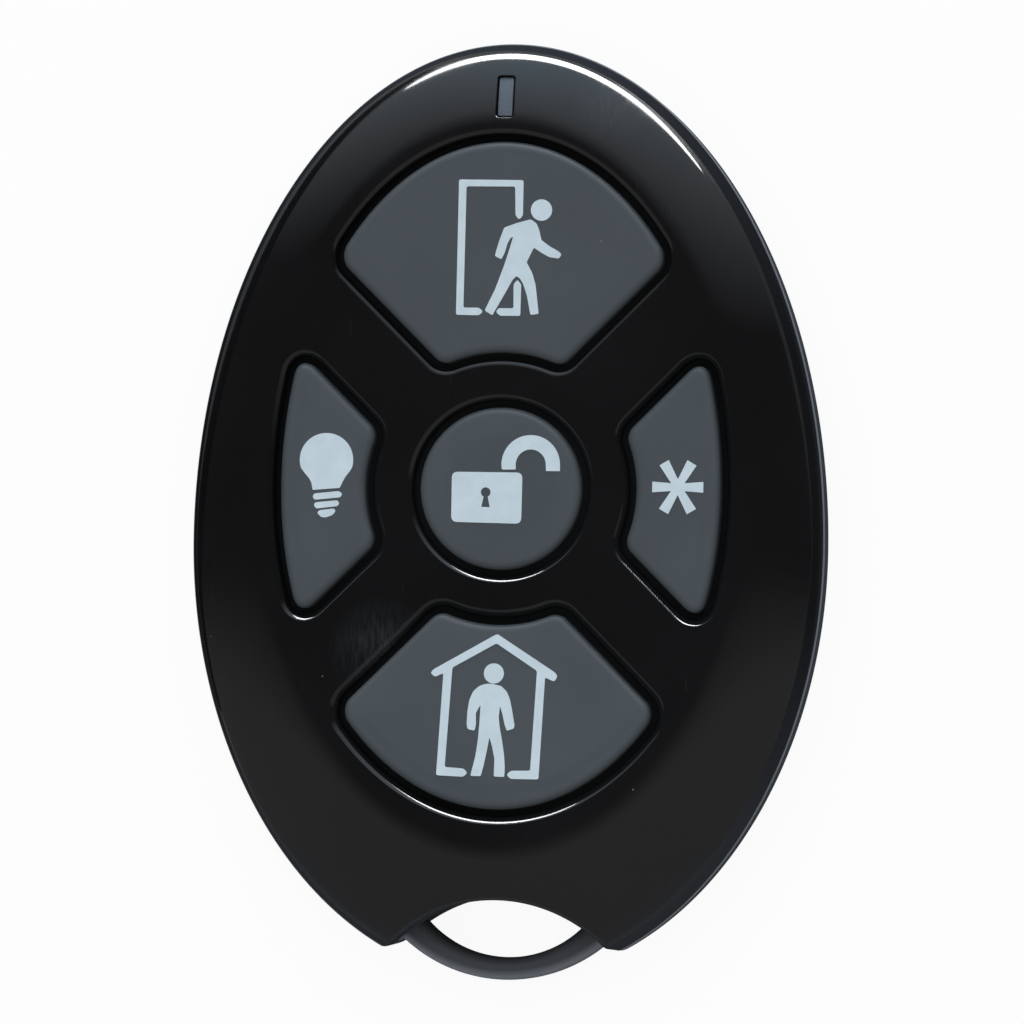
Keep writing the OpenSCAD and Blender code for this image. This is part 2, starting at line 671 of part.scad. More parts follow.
// Arched leaf between the cell's cap and the board
module battery_contact() {
    rise = contact_h - clip_t;
    bow_r = (pow(CONTACT_R, 2) + pow(rise, 2)) / (2 * rise);
    color("silver") translate([0, KEY_Y + CONTACT_W / 2, 0]) rotate([90, 0, 0]) linear_extrude(CONTACT_W)
        intersection() {
            difference() {
                translate([0, CELL_TOP + bow_r]) circle(r = bow_r, $fn = 200);
                translate([0, CELL_TOP + bow_r]) circle(r = bow_r - clip_t, $fn = 200);
            }
            translate([-CONTACT_R, CELL_TOP]) square([2 * CONTACT_R, contact_h]);
        }
}

// A part soldered under the board, with the middle of its upper face at a place
module under_board(size, place) {
    translate([place.x - size.x / 2, place.y - size.y / 2, BOARD_Z - size.z]) cube(size);
}

module controller_chip() {
    color("black") under_board(CONTROLLER, [0, KEY_Y + cell_d / 2 + CHIP_Y]);
}

module transmitter_chip() {
    color("black") under_board(TRANSMITTER, [-CHIP_GAP, KEY_Y - cell_d / 2 - CHIP_Y]);
}

module crystal() {
    color("silver") under_board(CRYSTAL, [CHIP_GAP, KEY_Y - cell_d / 2 - CHIP_Y]);
}

module chip_capacitors() {
    for (side = [-1, 1], i = [1 : CAPACITOR_COUNT])
        color("tan") under_board(CAPACITOR,
            [side * (CONTROLLER.x / 2 + i * CAPACITOR_STEP), KEY_Y + cell_d / 2 + CHIP_Y]);
}

// Strip that stands along the board's left edge
module loop_antenna() {
    color("gold") intersection() {
        difference() {
            egg_plate(ANTENNA_IN, BOARD_TOP, BOARD_TOP + ANTENNA_H);
            egg_plate(ANTENNA_IN + ANTENNA_T, BOARD_TOP - CUT, BOARD_TOP + ANTENNA_H + CUT);
        }
        translate([-HALF_W, ANTENNA_Y[0], BOARD_TOP - CUT])
            cube([HALF_W, ANTENNA_Y[1] - ANTENNA_Y[0], ANTENNA_H + 2 * CUT]);
    }
}

module away_key() { key("away"); }
module disarm_key() { key("disarm"); }
module stay_key() { key("stay"); }
module light_key() { key("light"); }
module star_key() { key("star"); }
module away_switch() { switch_body("away"); }
module disarm_switch() { switch_body("disarm"); }
module stay_switch() { switch_body("stay"); }
module light_switch() { switch_body("light"); }
module star_switch() { switch_body("star"); }
module away_plunger() { plunger("away"); }
module disarm_plunger() { plunger("disarm"); }
module stay_plunger() { plunger("stay"); }
module light_plunger() { plunger("light"); }
module star_plunger() { plunger("star"); }

front_cover();
rear_cover();
case_screws();
keypad_mat();
away_key();
disarm_key();
stay_key();
light_key();
star_key();
away_switch();
disarm_switch();
stay_switch();
light_switch();
star_switch();
away_plunger();
disarm_plunger();
stay_plunger();
light_plunger();
star_plunger();
circuit_board();
light_pipe();
indicator_led();
coin_cell();
battery_clip();
battery_contact();
controller_chip();
transmitter_chip();
crystal();
loop_antenna();
chip_capacitors();
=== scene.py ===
"""Alarm key fob: covers, keys, printed signs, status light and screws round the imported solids."""

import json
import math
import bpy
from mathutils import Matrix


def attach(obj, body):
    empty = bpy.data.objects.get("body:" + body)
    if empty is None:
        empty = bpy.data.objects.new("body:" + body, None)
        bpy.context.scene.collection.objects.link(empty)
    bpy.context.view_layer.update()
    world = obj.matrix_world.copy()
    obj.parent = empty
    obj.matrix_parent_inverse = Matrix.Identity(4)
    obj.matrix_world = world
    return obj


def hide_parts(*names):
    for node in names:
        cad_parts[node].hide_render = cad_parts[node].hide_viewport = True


bl_info = {
    "name": "Alarm key fob",
    "version": (1, 0, 0),
    "blender": (4, 5, 0),
    "location": "View3D > Sidebar > Key fob",
    "description": "Builds the visible pieces of an alarm key fob, their finishes and a small studio",
    "category": "Object",
}

from collections import namedtuple

import bmesh
import bpy
import numpy as np
from bpy.props import FloatProperty, FloatVectorProperty, PointerProperty
from mathutils import Matrix, Vector
from mathutils.geometry import delaunay_2d_cdt

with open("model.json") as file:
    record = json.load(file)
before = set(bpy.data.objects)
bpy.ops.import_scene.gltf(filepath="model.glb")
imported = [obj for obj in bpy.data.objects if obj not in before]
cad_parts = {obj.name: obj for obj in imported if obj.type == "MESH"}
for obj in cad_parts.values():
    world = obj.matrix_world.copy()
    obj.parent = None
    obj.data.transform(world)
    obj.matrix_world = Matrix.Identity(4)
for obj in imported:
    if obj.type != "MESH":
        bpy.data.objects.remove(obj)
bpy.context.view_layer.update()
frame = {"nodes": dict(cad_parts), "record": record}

MM = 0.001

# Case outline, in millimetres: two half ellipses that share the widest line
HALF_WIDTH = 20.35
NOSE = 30.0
TAIL = -30.0
WIDEST = -2.0
PARTING = 6.95
WALL = 1.4
FLOOR = 1.2
BELLY_R = 4.0
LIP_T = 0.6
LIP_H = 0.8
FIT = 0.1

# Front face
SHOULDER_INSET = 0.67
SHOULDER_R = 0.55
SHOULDER_Z = 9.35
WALL_DRAFT = math.radians(14)
RIM_STEEP = math.radians(45)
RIM_FLAT = math.radians(8)
RIDGE_Z = 11.55
RIDGE_A = 15.06
RIDGE_NOSE = 24.6
RIDGE_TAIL = -21.2
RIDGE_Y = (RIDGE_NOSE + RIDGE_TAIL) / 2
RIDGE_B = (RIDGE_NOSE - RIDGE_TAIL) / 2
DISH_FLOOR = 10.95
DISH_DEPTH = RIDGE_Z - DISH_FLOOR
CEILING = 9.75
HAUNCH = SHOULDER_Z - WALL / 2
CREST_SOFTNESS = 0.2

# Keys
KEY_NAMES = ("away", "disarm", "stay", "light", "star")
KEY_TURN = {"away": 90.0, "stay": 270.0, "light": 180.0, "star": 0.0}
KEY_STRUT = {"away": 2.8, "stay": 2.8, "light": 3.1, "star": 3.1}
KEY_Y = 1.4
DISARM_R = 5.15
KEY_IN_R = 8.65
KEY_A = 14.04
KEY_NOSE = 22.0
KEY_TAIL = 20.35
KEY_CORNER = 1.2
KEY_TIP = 0.6
KEY_CROWN = {"away": 0.0, "disarm": 0.07, "stay": 0.07, "light": 0.07, "star": 0.07}
KEY_PROUD = 0.1
KEY_GAP = 0.45
FLANGE_W = 0.65
FLANGE_Z = 9.05
FLANGE_TOP = 9.65
STEM_R = 1.7
STEM_FOOT = 8.15

# Key-ring end
NOTCH_R = 9.4
NOTCH_Y = -34.1
LOBE_R = 1.3
LOBE_BITE = 0.1
LOOP_TOP = 5.55
LOOP_H = 3.2
LOOP_W = 1.45
LOOP_OUTER_R = 9.9
LOOP_INNER_R = 6.9
LOOP_SQUARENESS = 0.7

# Status light
SLOT_Y = 26.3
SLOT_W = 1.1
SLOT_L = 2.7
SLOT_CORNER = 0.2
SLOT_RECESS = 0.25
PIPE_GAP = 0.08
PIPE_FOOT = 7.1
PIPE_FLANGE = 0.4
PIPE_ROUND = 0.05
PIPE_FLANGE_Z = (8.15, 8.65)

# Screws, bosses and posts
BOARD_Z = 5.35
BOARD_TOP = 6.35
BOSS_R = 1.7
BOSS_FOOT_R = 2.92
BOSS_FOOT_TOP = 3.1
BOSS_T = 13.18
SCREW_PLACES = [(x, RIDGE_Y - BOSS_T) for x in (-BOSS_T, BOSS_T)]
POST_PLACES = [(x, RIDGE_Y + BOSS_T) for x in (-BOSS_T, BOSS_T)]
SCREW_SEAT = 1.7
SCREW_HEAD_R = 1.8
SCREW_HEAD_H = 1.2
SCREW_R = 0.95
SCREW_TIP = 9.05
SCREW_GAP = 0.12
SCREW_RIDGES = 6
CROSS_MOUTH = (0.3, 1.05)
CROSS_FLOOR = (0.2, 0.55)
CROSS_DEPTH = 0.75
PIN_R = 0.7
PIN_TOP = 6.85

# Soft edges of the key openings: the bevel's steep and flat ends in degrees and its width in radii of the
# edge, and the radii of the rounds below and above it. One opening has a plain round.
SOFT_BEVEL = (46.6, 50.0, 0.66)
OPENING_BEVEL = {"stay": (44.4, 50.0, 1.0), "star": (44.4, 45.5, 0.75)}
ROUND_BELOW = 0.7
ROUND_ABOVE = 0.1
PLAIN_OPENING = "away"

# Fineness of the meshes
EGG_POINTS = 420
NOTCH_POINTS = 90
TURNED_POINTS = 48
BOSS_POINTS = 40
KEY_STEP = 0.2
HOLE_STEP = 0.2
SLOT_STEP = 0.07
DISH_STEP = 0.55
CEILING_STEP = 1.1
BELLY_STEP = 2.0
HALVINGS = 40
NOTCH_ROWS = (0.15, 0.35)
RIM_SHARES = np.concatenate([np.linspace(0, 0.8, 16)[1:], np.linspace(0.84, 1.4, 15)])
GRID_SHARE = 1.45
KEY_SHARES = (0.86, 0.7, 0.52, 0.34, 0.16, 0.05)
SHARP = math.radians(38)

# Room between the rows of points, in millimetres
CORNER_CLEAR = 0.06
EDGE_ROW = 0.1
EDGE_CLEAR = 0.25
CEILING_CLEAR = 0.4
SHEET_CLEAR = 0.5

Ring = namedtuple("Ring", "verts edges")


def linear(red, green, blue):
    """Scene colour of an 8-bit display colour."""
    shares = [value / 255 for value in (red, green, blue)]
    return tuple(s / 12.92 if s <= 0.04045 else ((s + 0.055) / 1.055) ** 2.4 for s in shares)


class FobSizes(bpy.types.PropertyGroup):
    """Small sizes that the finished pieces add to the solids."""

    opening_edge: FloatProperty(
        name="Opening edge", description="Radius on the upper edge of the key openings",
        default=0.0004, min=0.0001, max=0.0004, precision=5, subtype="DISTANCE", unit="LENGTH")
    notch_edge: FloatProperty(
        name="Notch edge", description="Radius on the front edge of the key-ring notch",
        default=0.0003, min=0.0001, max=0.0005, precision=5, subtype="DISTANCE", unit="LENGTH")
    slot_edge: FloatProperty(
        name="Slot edge", description="Radius on the edge of the status light's slot",
        default=0.00006, min=0.00005, max=0.0002, precision=5, subtype="DISTANCE", unit="LENGTH")
    parting_edge: FloatProperty(
        name="Parting edge", description="Bevel of both covers along their parting line",
        default=0.00018, min=0.00005, max=0.0002, precision=5, subtype="DISTANCE", unit="LENGTH")
    key_edge: FloatProperty(
        name="Key edge", description="Radius on the upper edge of the keys",
        default=0.0005, min=0.0002, max=0.0006, precision=5, subtype="DISTANCE", unit="LENGTH")
    sign_rise: FloatProperty(
        name="Sign thickness", description="How far the printed signs stand above the keys",
        default=0.00003, min=0.00001, max=0.0001, precision=6, subtype="DISTANCE", unit="LENGTH")


class FobFinish(bpy.types.PropertyGroup):
    """Colours and gloss of the visible pieces."""

    cover: FloatVectorProperty(
        name="Front cover", description="Colour of the gloss front cover",
        default=linear(13, 13, 14), size=3, min=0, max=1, subtype="COLOR")
    # Painted light: the lighter wall colour where the wall faces the nose or the tail and along its foot;
    # elsewhere the wall is a darker copy of the cover's colour
    painted_lit_wall: FloatVectorProperty(
        name="Front cover wall", description="Colour of the front cover's satin side wall",
        default=linear(52, 54, 58), size=3, min=0, max=1, subtype="COLOR")
    tray: FloatVectorProperty(
        name="Rear cover", description="Colour of the satin rear cover",
        default=linear(68, 71, 75), size=3, min=0, max=1, subtype="COLOR")
    key: FloatVectorProperty(
        name="Keys", description="Colour of the silicone keys",
        default=linear(70, 76, 80), size=3, min=0, max=1, subtype="COLOR")
    sign: FloatVectorProperty(
        name="Signs", description="Colour of the printed signs",
        default=linear(206, 221, 229), size=3, min=0, max=1, subtype="COLOR")
    window: FloatVectorProperty(
        name="Status light", description="Colour of the status light's window",
        default=linear(93, 104, 116), size=3, min=0, max=1, subtype="COLOR")
    cover_roughness: FloatProperty(
        name="Front cover roughness", description="Roughness of the gloss cover where it is clean",
        default=0.05, min=0, max=1, subtype="FACTOR")
    key_roughness: FloatProperty(
        name="Key roughness", description="Roughness of the silicone keys",
        default=0.6, min=0, max=1, subtype="FACTOR")


class FobStudio(bpy.types.PropertyGroup):
    """Camera, floor and lights."""

    distance: FloatProperty(
        name="Camera distance", description="Distance from the camera to the fob",
        default=0.45, min=0.1, max=2, subtype="DISTANCE", unit="LENGTH")
    lens: FloatProperty(
        name="Lens", description="Focal length on a 36 mm sensor, in millimetres",
        default=247.92, min=20, max=400)
    lean_side: FloatProperty(
        name="Lean to the side", description="How far the camera leans to the fob's right",
        default=math.radians(6.872), subtype="ANGLE", unit="ROTATION")
    lean_nose: FloatProperty(
        name="Lean to the nose", description="How far the camera leans to the fob's nose",
        default=math.radians(-1.312), subtype="ANGLE", unit="ROTATION")
    roll: FloatProperty(
        name="Roll", description="Turn of the camera about its own line of sight",
        default=math.radians(0.783), subtype="ANGLE", unit="ROTATION")
    aim: FloatVectorProperty(
        name="Aim", description="Point that the camera looks at",
        default=(0.000407, -0.000016, 0.008), size=3, precision=6, subtype="TRANSLATION", unit="LENGTH")
    floor: FloatVectorProperty(
        name="Floor", description="Colour of the floor",
        default=linear(246, 246, 247), size=3, min=0, max=1, subtype="COLOR")
    soft_power: FloatProperty(
        name="Soft light", description="Power of the large light overhead",
        default=2.6, min=0, unit="POWER")
    strip_power: FloatProperty(
        name="Strip light", description="Power of the low strip beyond the nose",
        default=16.4, min=0, unit="POWER")


def polar(centre, radius, turns):
    """Plan points at a distance from a centre, at turns in radians."""
    return np.stack([centre[0] + radius * np.cos(turns), centre[1] + radius * np.sin(turns)], 1)


def full_turn(count):
    """Even turns all the way round."""
    return np.linspace(0, 2 * np.pi, count, endpoint=False)


def circle(radius, centre, count):
    """Plan points round a circle."""
    return polar(centre, radius, full_turn(count))


def lift(points, height):
    """Plan points with a height, one for all or one for each."""
    return np.column_stack([points, np.broadcast_to(height, len(points))])


def drape(loop, height, drop=0.0):
    """Plan points laid on a face, or under it by a drop."""
    return lift(loop, height(loop) - drop)


def grow(loop, distance):
    """A closed loop moved outwards, or inwards where the distance is negative."""
    along = np.roll(loop, -1, 0) - np.roll(loop, 1, 0)
    side = np.stack([along[:, 1], -along[:, 0]], 1)
    return loop + distance * side / np.linalg.norm(side, axis=1)[:, None]


def run_along(points):
    """Length of a path up to each of its points."""
    return np.concatenate([[0], np.cumsum(np.linalg.norm(np.diff(points, axis=0), axis=1))])


def respace(loop, step):
    """A closed loop with its points an equal step apart."""
    closed = np.vstack([loop, loop[:1]])
    run = run_along(closed)
    places = np.linspace(0, run[-1], max(8, round(run[-1] / step)), endpoint=False)
    return np.stack([np.interp(places, run, closed[:, k]) for k in (0, 1)], 1)


def inside(points, loop):
    """True for each plan point that lies within a closed loop."""
    found = np.zeros(len(points), bool)
    for (x0, y0), (x1, y1) in zip(loop, np.roll(loop, -1, 0)):
        if y0 != y1:
            spans = (points[:, 1] >= min(y0, y1)) & (points[:, 1] < max(y0, y1))
            found ^= spans & (points[:, 0] < x0 + (points[:, 1] - y0) / (y1 - y0) * (x1 - x0))
    return found


def clear_of(points, loops):
    """The plan points that lie in none of the loops."""
    for loop in loops:
        points = points[~inside(points, loop)]
    return points


def nearest(points, path):
    """Distance from each plan point to the nearest point of a finely spaced path."""
    return np.min([np.hypot(points[:, 0] - x, points[:, 1] - y) for x, y in path], axis=0)


def egg_shape(inset):
    """Half width, nose, tail and widest line of the case outline at an inset."""
    return HALF_WIDTH - inset, NOSE - inset, TAIL + inset, WIDEST


def rim_shape(share):
    """The same for the rim's rings: 0 is the shoulder and 1 the ridge."""
    ridge = (RIDGE_A, RIDGE_NOSE, RIDGE_TAIL, RIDGE_Y)
    return tuple((1 - share) * a + share * b for a, b in zip(egg_shape(SHOULDER_INSET), ridge))


def shape_points(shape, turns):
    """Points of two half ellipses that share their widest line."""
    half_width, nose, tail, widest = shape
    reach = np.where(np.sin(turns) > 0, nose - widest, widest - tail)
    return np.stack([half_width * np.cos(turns), widest + reach * np.sin(turns)], 1)


def level(points, shape_at, low, high):
    """Level of the nested outline that passes through each point, closed in on by halving."""
    low, high = np.full(len(points), float(low)), np.full(len(points), float(high))
    for _ in range(HALVINGS):
        middle = (low + high) / 2
        half_width, nose, tail, widest = shape_at(middle)
        reach = np.where(points[:, 1] > widest, nose - widest, widest - tail)
        within = (points[:, 0] / half_width) ** 2 + ((points[:, 1] - widest) / reach) ** 2 < 1
        low, high = np.where(within, middle, low), np.where(within, high, middle)
    return low


def egg_inset(points):
    """How far each plan point lies within the case outline."""
    return level(points, egg_shape, -1.0, HALF_WIDTH - 1.0)


def rim_share(points):
    """Where each plan point lies between the shoulder (0) and the ridge (1), and a little beyond."""
    return level(points, rim_shape, 0.0, 1.6)


def dish_height(points):
    """Height of the shallow dish between the keys."""
    bowl = (points[:, 0] / RIDGE_A) ** 2 + ((points[:, 1] - RIDGE_Y) / RIDGE_B) ** 2
    return DISH_FLOOR + DISH_DEPTH * bowl


def face_height(points):
    """Height of the front face from the shoulder inwards: the rim, its soft crest and the dish."""
    tilt = np.sin(RIM_STEEP) - rim_share(points) * (np.sin(RIM_STEEP) - np.sin(RIM_FLAT))
    gain = (np.sqrt(1 - tilt ** 2) - np.cos(RIM_STEEP)) / (np.cos(RIM_FLAT) - np.cos(RIM_STEEP))
    rim = SHOULDER_Z + (RIDGE_Z - SHOULDER_Z) * gain
    dish = dish_height(points)
    mix = np.clip(0.5 + 0.5 * (dish - rim) / CREST_SOFTNESS, 0, 1)
    return dish * (1 - mix) + rim * mix - CREST_SOFTNESS * mix * (1 - mix)


def ceiling_height(points):
    """Height of the front cover's inner face."""
    return HAUNCH + (CEILING - HAUNCH) * np.clip(rim_share(points), 0, 1)


def belly_height(points):
    """Height of the rear cover's rolled outer face."""
    share = np.clip(1 - egg_inset(points) / BELLY_R, 0, 1)
    return BELLY_R * (1 - np.sqrt(1 - share ** 2))


def tray_height(points):
    """Height of the rear cover's inner face."""
    share = np.clip((BELLY_R - egg_inset(points)) / (BELLY_R - WALL), 0, 1)
    return FLOOR + (BELLY_R - FLOOR) * (1 - np.sqrt(1 - share ** 2))


def rounding(radius, steps):
    """Offsets and drops of a quarter round, from the wall to the face."""
    turns = np.linspace(0, np.pi / 2, steps + 1)
    return list(zip(radius * (1 - np.cos(turns)), radius * (1 - np.sin(turns))))


def bevelled(radius, steep, flat, width):
    """Offsets and drops of a soft edge, from the wall to the face: a round, a bevel and a tight round."""
    offsets, climbs = [0.0], [0.0]
    across = math.cos(math.radians(steep)) - math.cos(math.radians(flat))
    parts = ((0, steep, ROUND_BELOW), (steep, flat, width / across), (flat, 90, ROUND_ABOVE))
    for start, end, reach in parts:
        turns = np.radians(np.linspace(start, end, 5))
        offsets += list(offsets[-1] + reach * radius * (np.cos(turns[0]) - np.cos(turns[1:])))
        climbs += list(climbs[-1] + reach * radius * (np.sin(turns[1:]) - np.sin(turns[0])))
    return list(zip(offsets, climbs[-1] - np.array(climbs)))


def lobe_centre():
    """Centre of the right lobe beside the notch, which touches the notch and the case outline."""
    low, high = 0.0, HALF_WIDTH / 2
    half_width, _, tail, widest = egg_shape(LOBE_R - LOBE_BITE)
    for _ in range(HALVINGS):
        x = (low + high) / 2
        y = widest + (tail - widest) * math.sqrt(1 - (x / half_width) ** 2)
        apart = math.hypot(x, y - NOTCH_Y) - NOTCH_R - LOBE_R
        low, high = (low, x) if apart > 0 else (x, high)
    return x, y


def notch_half():
    """Right half of the notch's edge: from its top, round the notch and on round the lobe."""
    x, y = lobe_centre()
    turn = math.atan2(y - NOTCH_Y, x)
    lobe = turn + np.pi + np.linspace(0, np.radians(100), 60)[1:]
    return np.concatenate([polar((0, NOTCH_Y), NOTCH_R, np.linspace(np.pi / 2, turn, 160)),
                           polar((x, y), LOBE_R, lobe)])


def backing_half():
    """Right half of the round wall behind the notch."""
    return polar((0, NOTCH_Y), NOTCH_R + WALL, np.linspace(np.pi / 2, 0, 200))


def clipped_outline(inset, half):
    """The case outline at an inset, counterclockwise, cut off by a notch whose right half is given."""
    run = run_along(half)
    end = np.interp(-inset, -egg_inset(half), run)
    places = np.linspace(-end, end, NOTCH_POINTS + 2)
    cut = np.stack([np.sign(places) * np.interp(abs(places), run, half[:, 0]),
                    np.interp(abs(places), run, half[:, 1])], 1)
    half_width, _, tail, widest = egg_shape(inset)
    start = math.atan2((cut[-1, 1] - widest) / (widest - tail), cut[-1, 0] / half_width)
    turns = np.linspace(start, np.pi - start, EGG_POINTS)
    return np.concatenate([shape_points(egg_shape(inset), turns), cut[1:-1]])


def sector_reach(turns):
    """Distance from the keys' middle to their outer edge."""
    ends = np.where(np.sin(turns) > 0, KEY_NOSE, KEY_TAIL)
    return 1 / np.hypot(np.cos(turns) / KEY_A, np.sin(turns) / ends)


def sector_half(name, radius):
    """Half the turn of a key's sector at a radius, between its struts."""
    return np.pi / 4 - np.arcsin(KEY_STRUT[name] / radius)


def sector_point(name, across, along):
    """Places in a key's sector, from -1 to 1 across it and from 0 to 1 outwards, as plan points."""
    middle = math.radians(KEY_TURN[name])
    turns = np.full(len(across), middle)
    for _ in range(8):
        radius = KEY_IN_R + along * (sector_reach(turns) - KEY_IN_R)
        turns = middle + across * sector_half(name, radius)
    return polar((0, KEY_Y), radius, turns)


def key_centre(name):
    """Middle of a key, over its switch."""
    if name == "disarm":
        return np.array([0, KEY_Y])
    return sector_point(name, np.zeros(1), np.full(1, 0.5))[0]


def key_outline(name):
    """Outline of a key, counterclockwise and evenly spaced."""
    if name == "disarm":
        return circle(DISARM_R, (0, KEY_Y), round(2 * np.pi * DISARM_R / KEY_STEP))
    edge = sector_reach(math.radians(KEY_TURN[name]) + np.pi / 8)
    inner, tip = KEY_TIP / (KEY_IN_R * sector_half(name, KEY_IN_R)), KEY_TIP / (edge - KEY_IN_R)
    outer, depth = KEY_CORNER / (edge * sector_half(name, edge)), KEY_CORNER / (edge - KEY_IN_R)
    quarter = np.linspace(0, np.pi / 2, 12)
    sweep = np.linspace(1, -1, 60)[1:-1]
    rise = np.linspace(tip, 1 - depth, 40)[1:-1]
    places = [
        (sweep * (1 - inner), 0 * sweep),
        (inner - 1 - inner * np.sin(quarter), tip * (1 - np.cos(quarter))),
        (0 * rise - 1, rise),
        (outer - 1 - outer * np.cos(quarter), 1 - depth + depth * np.sin(quarter)),
        (-sweep * (1 - outer), 0 * sweep + 1),
        (1 - outer + outer * np.sin(quarter), 1 - depth + depth * np.cos(quarter)),
        (0 * rise + 1, rise[::-1]),
        (1 - inner + inner * np.cos(quarter), tip * (1 - np.sin(quarter))),
    ]
    across, along = (np.concatenate(column) for column in zip(*places))
    return respace(sector_point(name, across, along), KEY_STEP)


def slot_outline(margin):
    """Outline of the status light's slot, with a margin."""
    radius = max(SLOT_CORNER + margin, PIPE_ROUND)
    quarter = np.linspace(0, np.pi / 2, 9)
    quarters = []
    for k, (across, along) in enumerate(((1, 1), (-1, 1), (-1, -1), (1, -1))):
        centre = (across * (SLOT_W / 2 + margin - radius), SLOT_Y + along * (SLOT_L / 2 + margin - radius))
        quarters.append(polar(centre, radius, quarter + k * np.pi / 2))
    return respace(np.concatenate(quarters), SLOT_STEP)


def ring(bm, points):
    """A closed loop of edges through points given in millimetres."""
    verts = [bm.verts.new(Vector(p) * MM) for p in points]
    return Ring(verts, [bm.edges.new((verts[i - 1], verts[i])) for i in range(len(verts))])


def skin(bm, rings):
    """Joins each ring to the next by a band of faces, point to point."""
    for low, high in zip(rings, rings[1:]):
        band = bmesh.ops.extrude_edge_only(bm, edges=low.edges)["geom"]
        fresh = {item for item in band if isinstance(item, bmesh.types.BMVert)}
        partners = {}
        for vert, goal in zip(low.verts, high.verts):
            partners[next(e.other_vert(vert) for e in vert.link_edges if e.other_vert(vert) in fresh)] = goal
        bmesh.ops.weld_verts(bm, targetmap=partners)


def cap(bm, loop):
    """Closes a ring by one face."""
    bmesh.ops.contextual_create(bm, geom=loop.edges)


def fill(bm, rings):
    """Fills flat rings by triangles, and leaves the inner rings open."""
    bmesh.ops.triangle_fill(bm, use_beauty=True, edges=[edge for loop in rings for edge in loop.edges])


def hoops(bm, half, steps):
    """Rings of the case outline, cut off by a notch, at pairs of inset and height."""
    return [ring(bm, lift(clipped_outline(inset, half), height)) for inset, height in steps]


def turned(bm, place, profile):
    """Rings about an upright axis, at pairs of radius and height."""
    return [ring(bm, lift(circle(radius, place, TURNED_POINTS), height)) for radius, height in profile]


def loft(bm, loops):
    """A closed solid through loops of points."""
    rings = [ring(bm, points) for points in loops]
    skin(bm, rings)
    cap(bm, rings[0])
    cap(bm, rings[-1])


def sheet(bm, outline, holes, folds, spread, height):
    """Fills an outline with holes by triangles through folds and spread points. Returns the edge rings."""
    loops = [outline] + holes + folds
    places = np.concatenate(loops + [spread])
    links, starts = [], []
    for loop in loops:
        starts.append(sum(len(earlier) for earlier in loops[:len(starts)]))
        links += [(starts[-1] + i, starts[-1] + (i + 1) % len(loop)) for i in range(len(loop))]
    flat, _, faces, origin, _, _ = delaunay_2d_cdt([Vector(p[:2]) for p in places], links, [], 0, 1e-7)
    heights = [places[source[0], 2] if source else float(height(np.array([p]))[0])
               for p, source in zip(flat, origin)]
    middles = np.array([sum((flat[i] for i in face), Vector((0, 0))) / 3 for face in faces])
    kept = inside(middles, outline[:, :2])
    for hole in holes:
        kept &= ~inside(middles, hole[:, :2])
    verts = {}
    for index in sorted({i for face, keep in zip(faces, kept) if keep for i in face}):
        verts[index] = bm.verts.new(Vector((*flat[index], heights[index])) * MM)
    for face, keep in zip(faces, kept):
        if keep:
            bm.faces.new([verts[i] for i in face])
    first = {source: index for index, sources in enumerate(origin) for source in sources}
    rings = []
    for start, loop in zip(starts, [outline] + holes):
        around = [verts[first[start + i]] for i in range(len(loop))]
        rings.append(Ring(around, [bm.edges.get((around[i - 1], around[i])) for i in range(len(around))]))
    return rings


def comb(step, low, high):
    """Plan points on an even triangular grid."""
    rows = np.arange(low[1], high[1], step * math.sqrt(3) / 2)
    columns = np.arange(low[0], high[0], step)
    return np.array([(x + step / 2 * (k % 2), y) for k, y in enumerate(rows) for x in columns])


def strewn(shapes, grid):
    """Plan points for a sheet: rings of nested outlines, and a grid within them."""
    return np.concatenate([shape_points(shape, full_turn(EGG_POINTS)) for shape in shapes] + [grid])


def add_object(name, data):
    """A new object in the scene."""
    made = bpy.data.objects.new(name, data)
    bpy.context.scene.collection.objects.link(made)
    return made


def mesh_object(bm, name, finish):
    """Turns a finished bmesh into an object of one material."""
    mesh = bpy.data.meshes.new(name)
    bm.to_mesh(mesh)
    bm.free()
    mesh.materials.append(finish)
    return add_object(name, mesh)


def place_piece(bm, name, body, finish, replaced=()):
    """Turns a finished bmesh into a piece that rides on a body."""
    bmesh.ops.recalc_face_normals(bm, faces=bm.faces[:])
    piece = mesh_object(bm, name, finish)
    piece.data.shade_smooth()
    piece.data.set_sharp_from_angle(angle=SHARP)
    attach(piece, body)
    if replaced:
        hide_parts(*replaced)


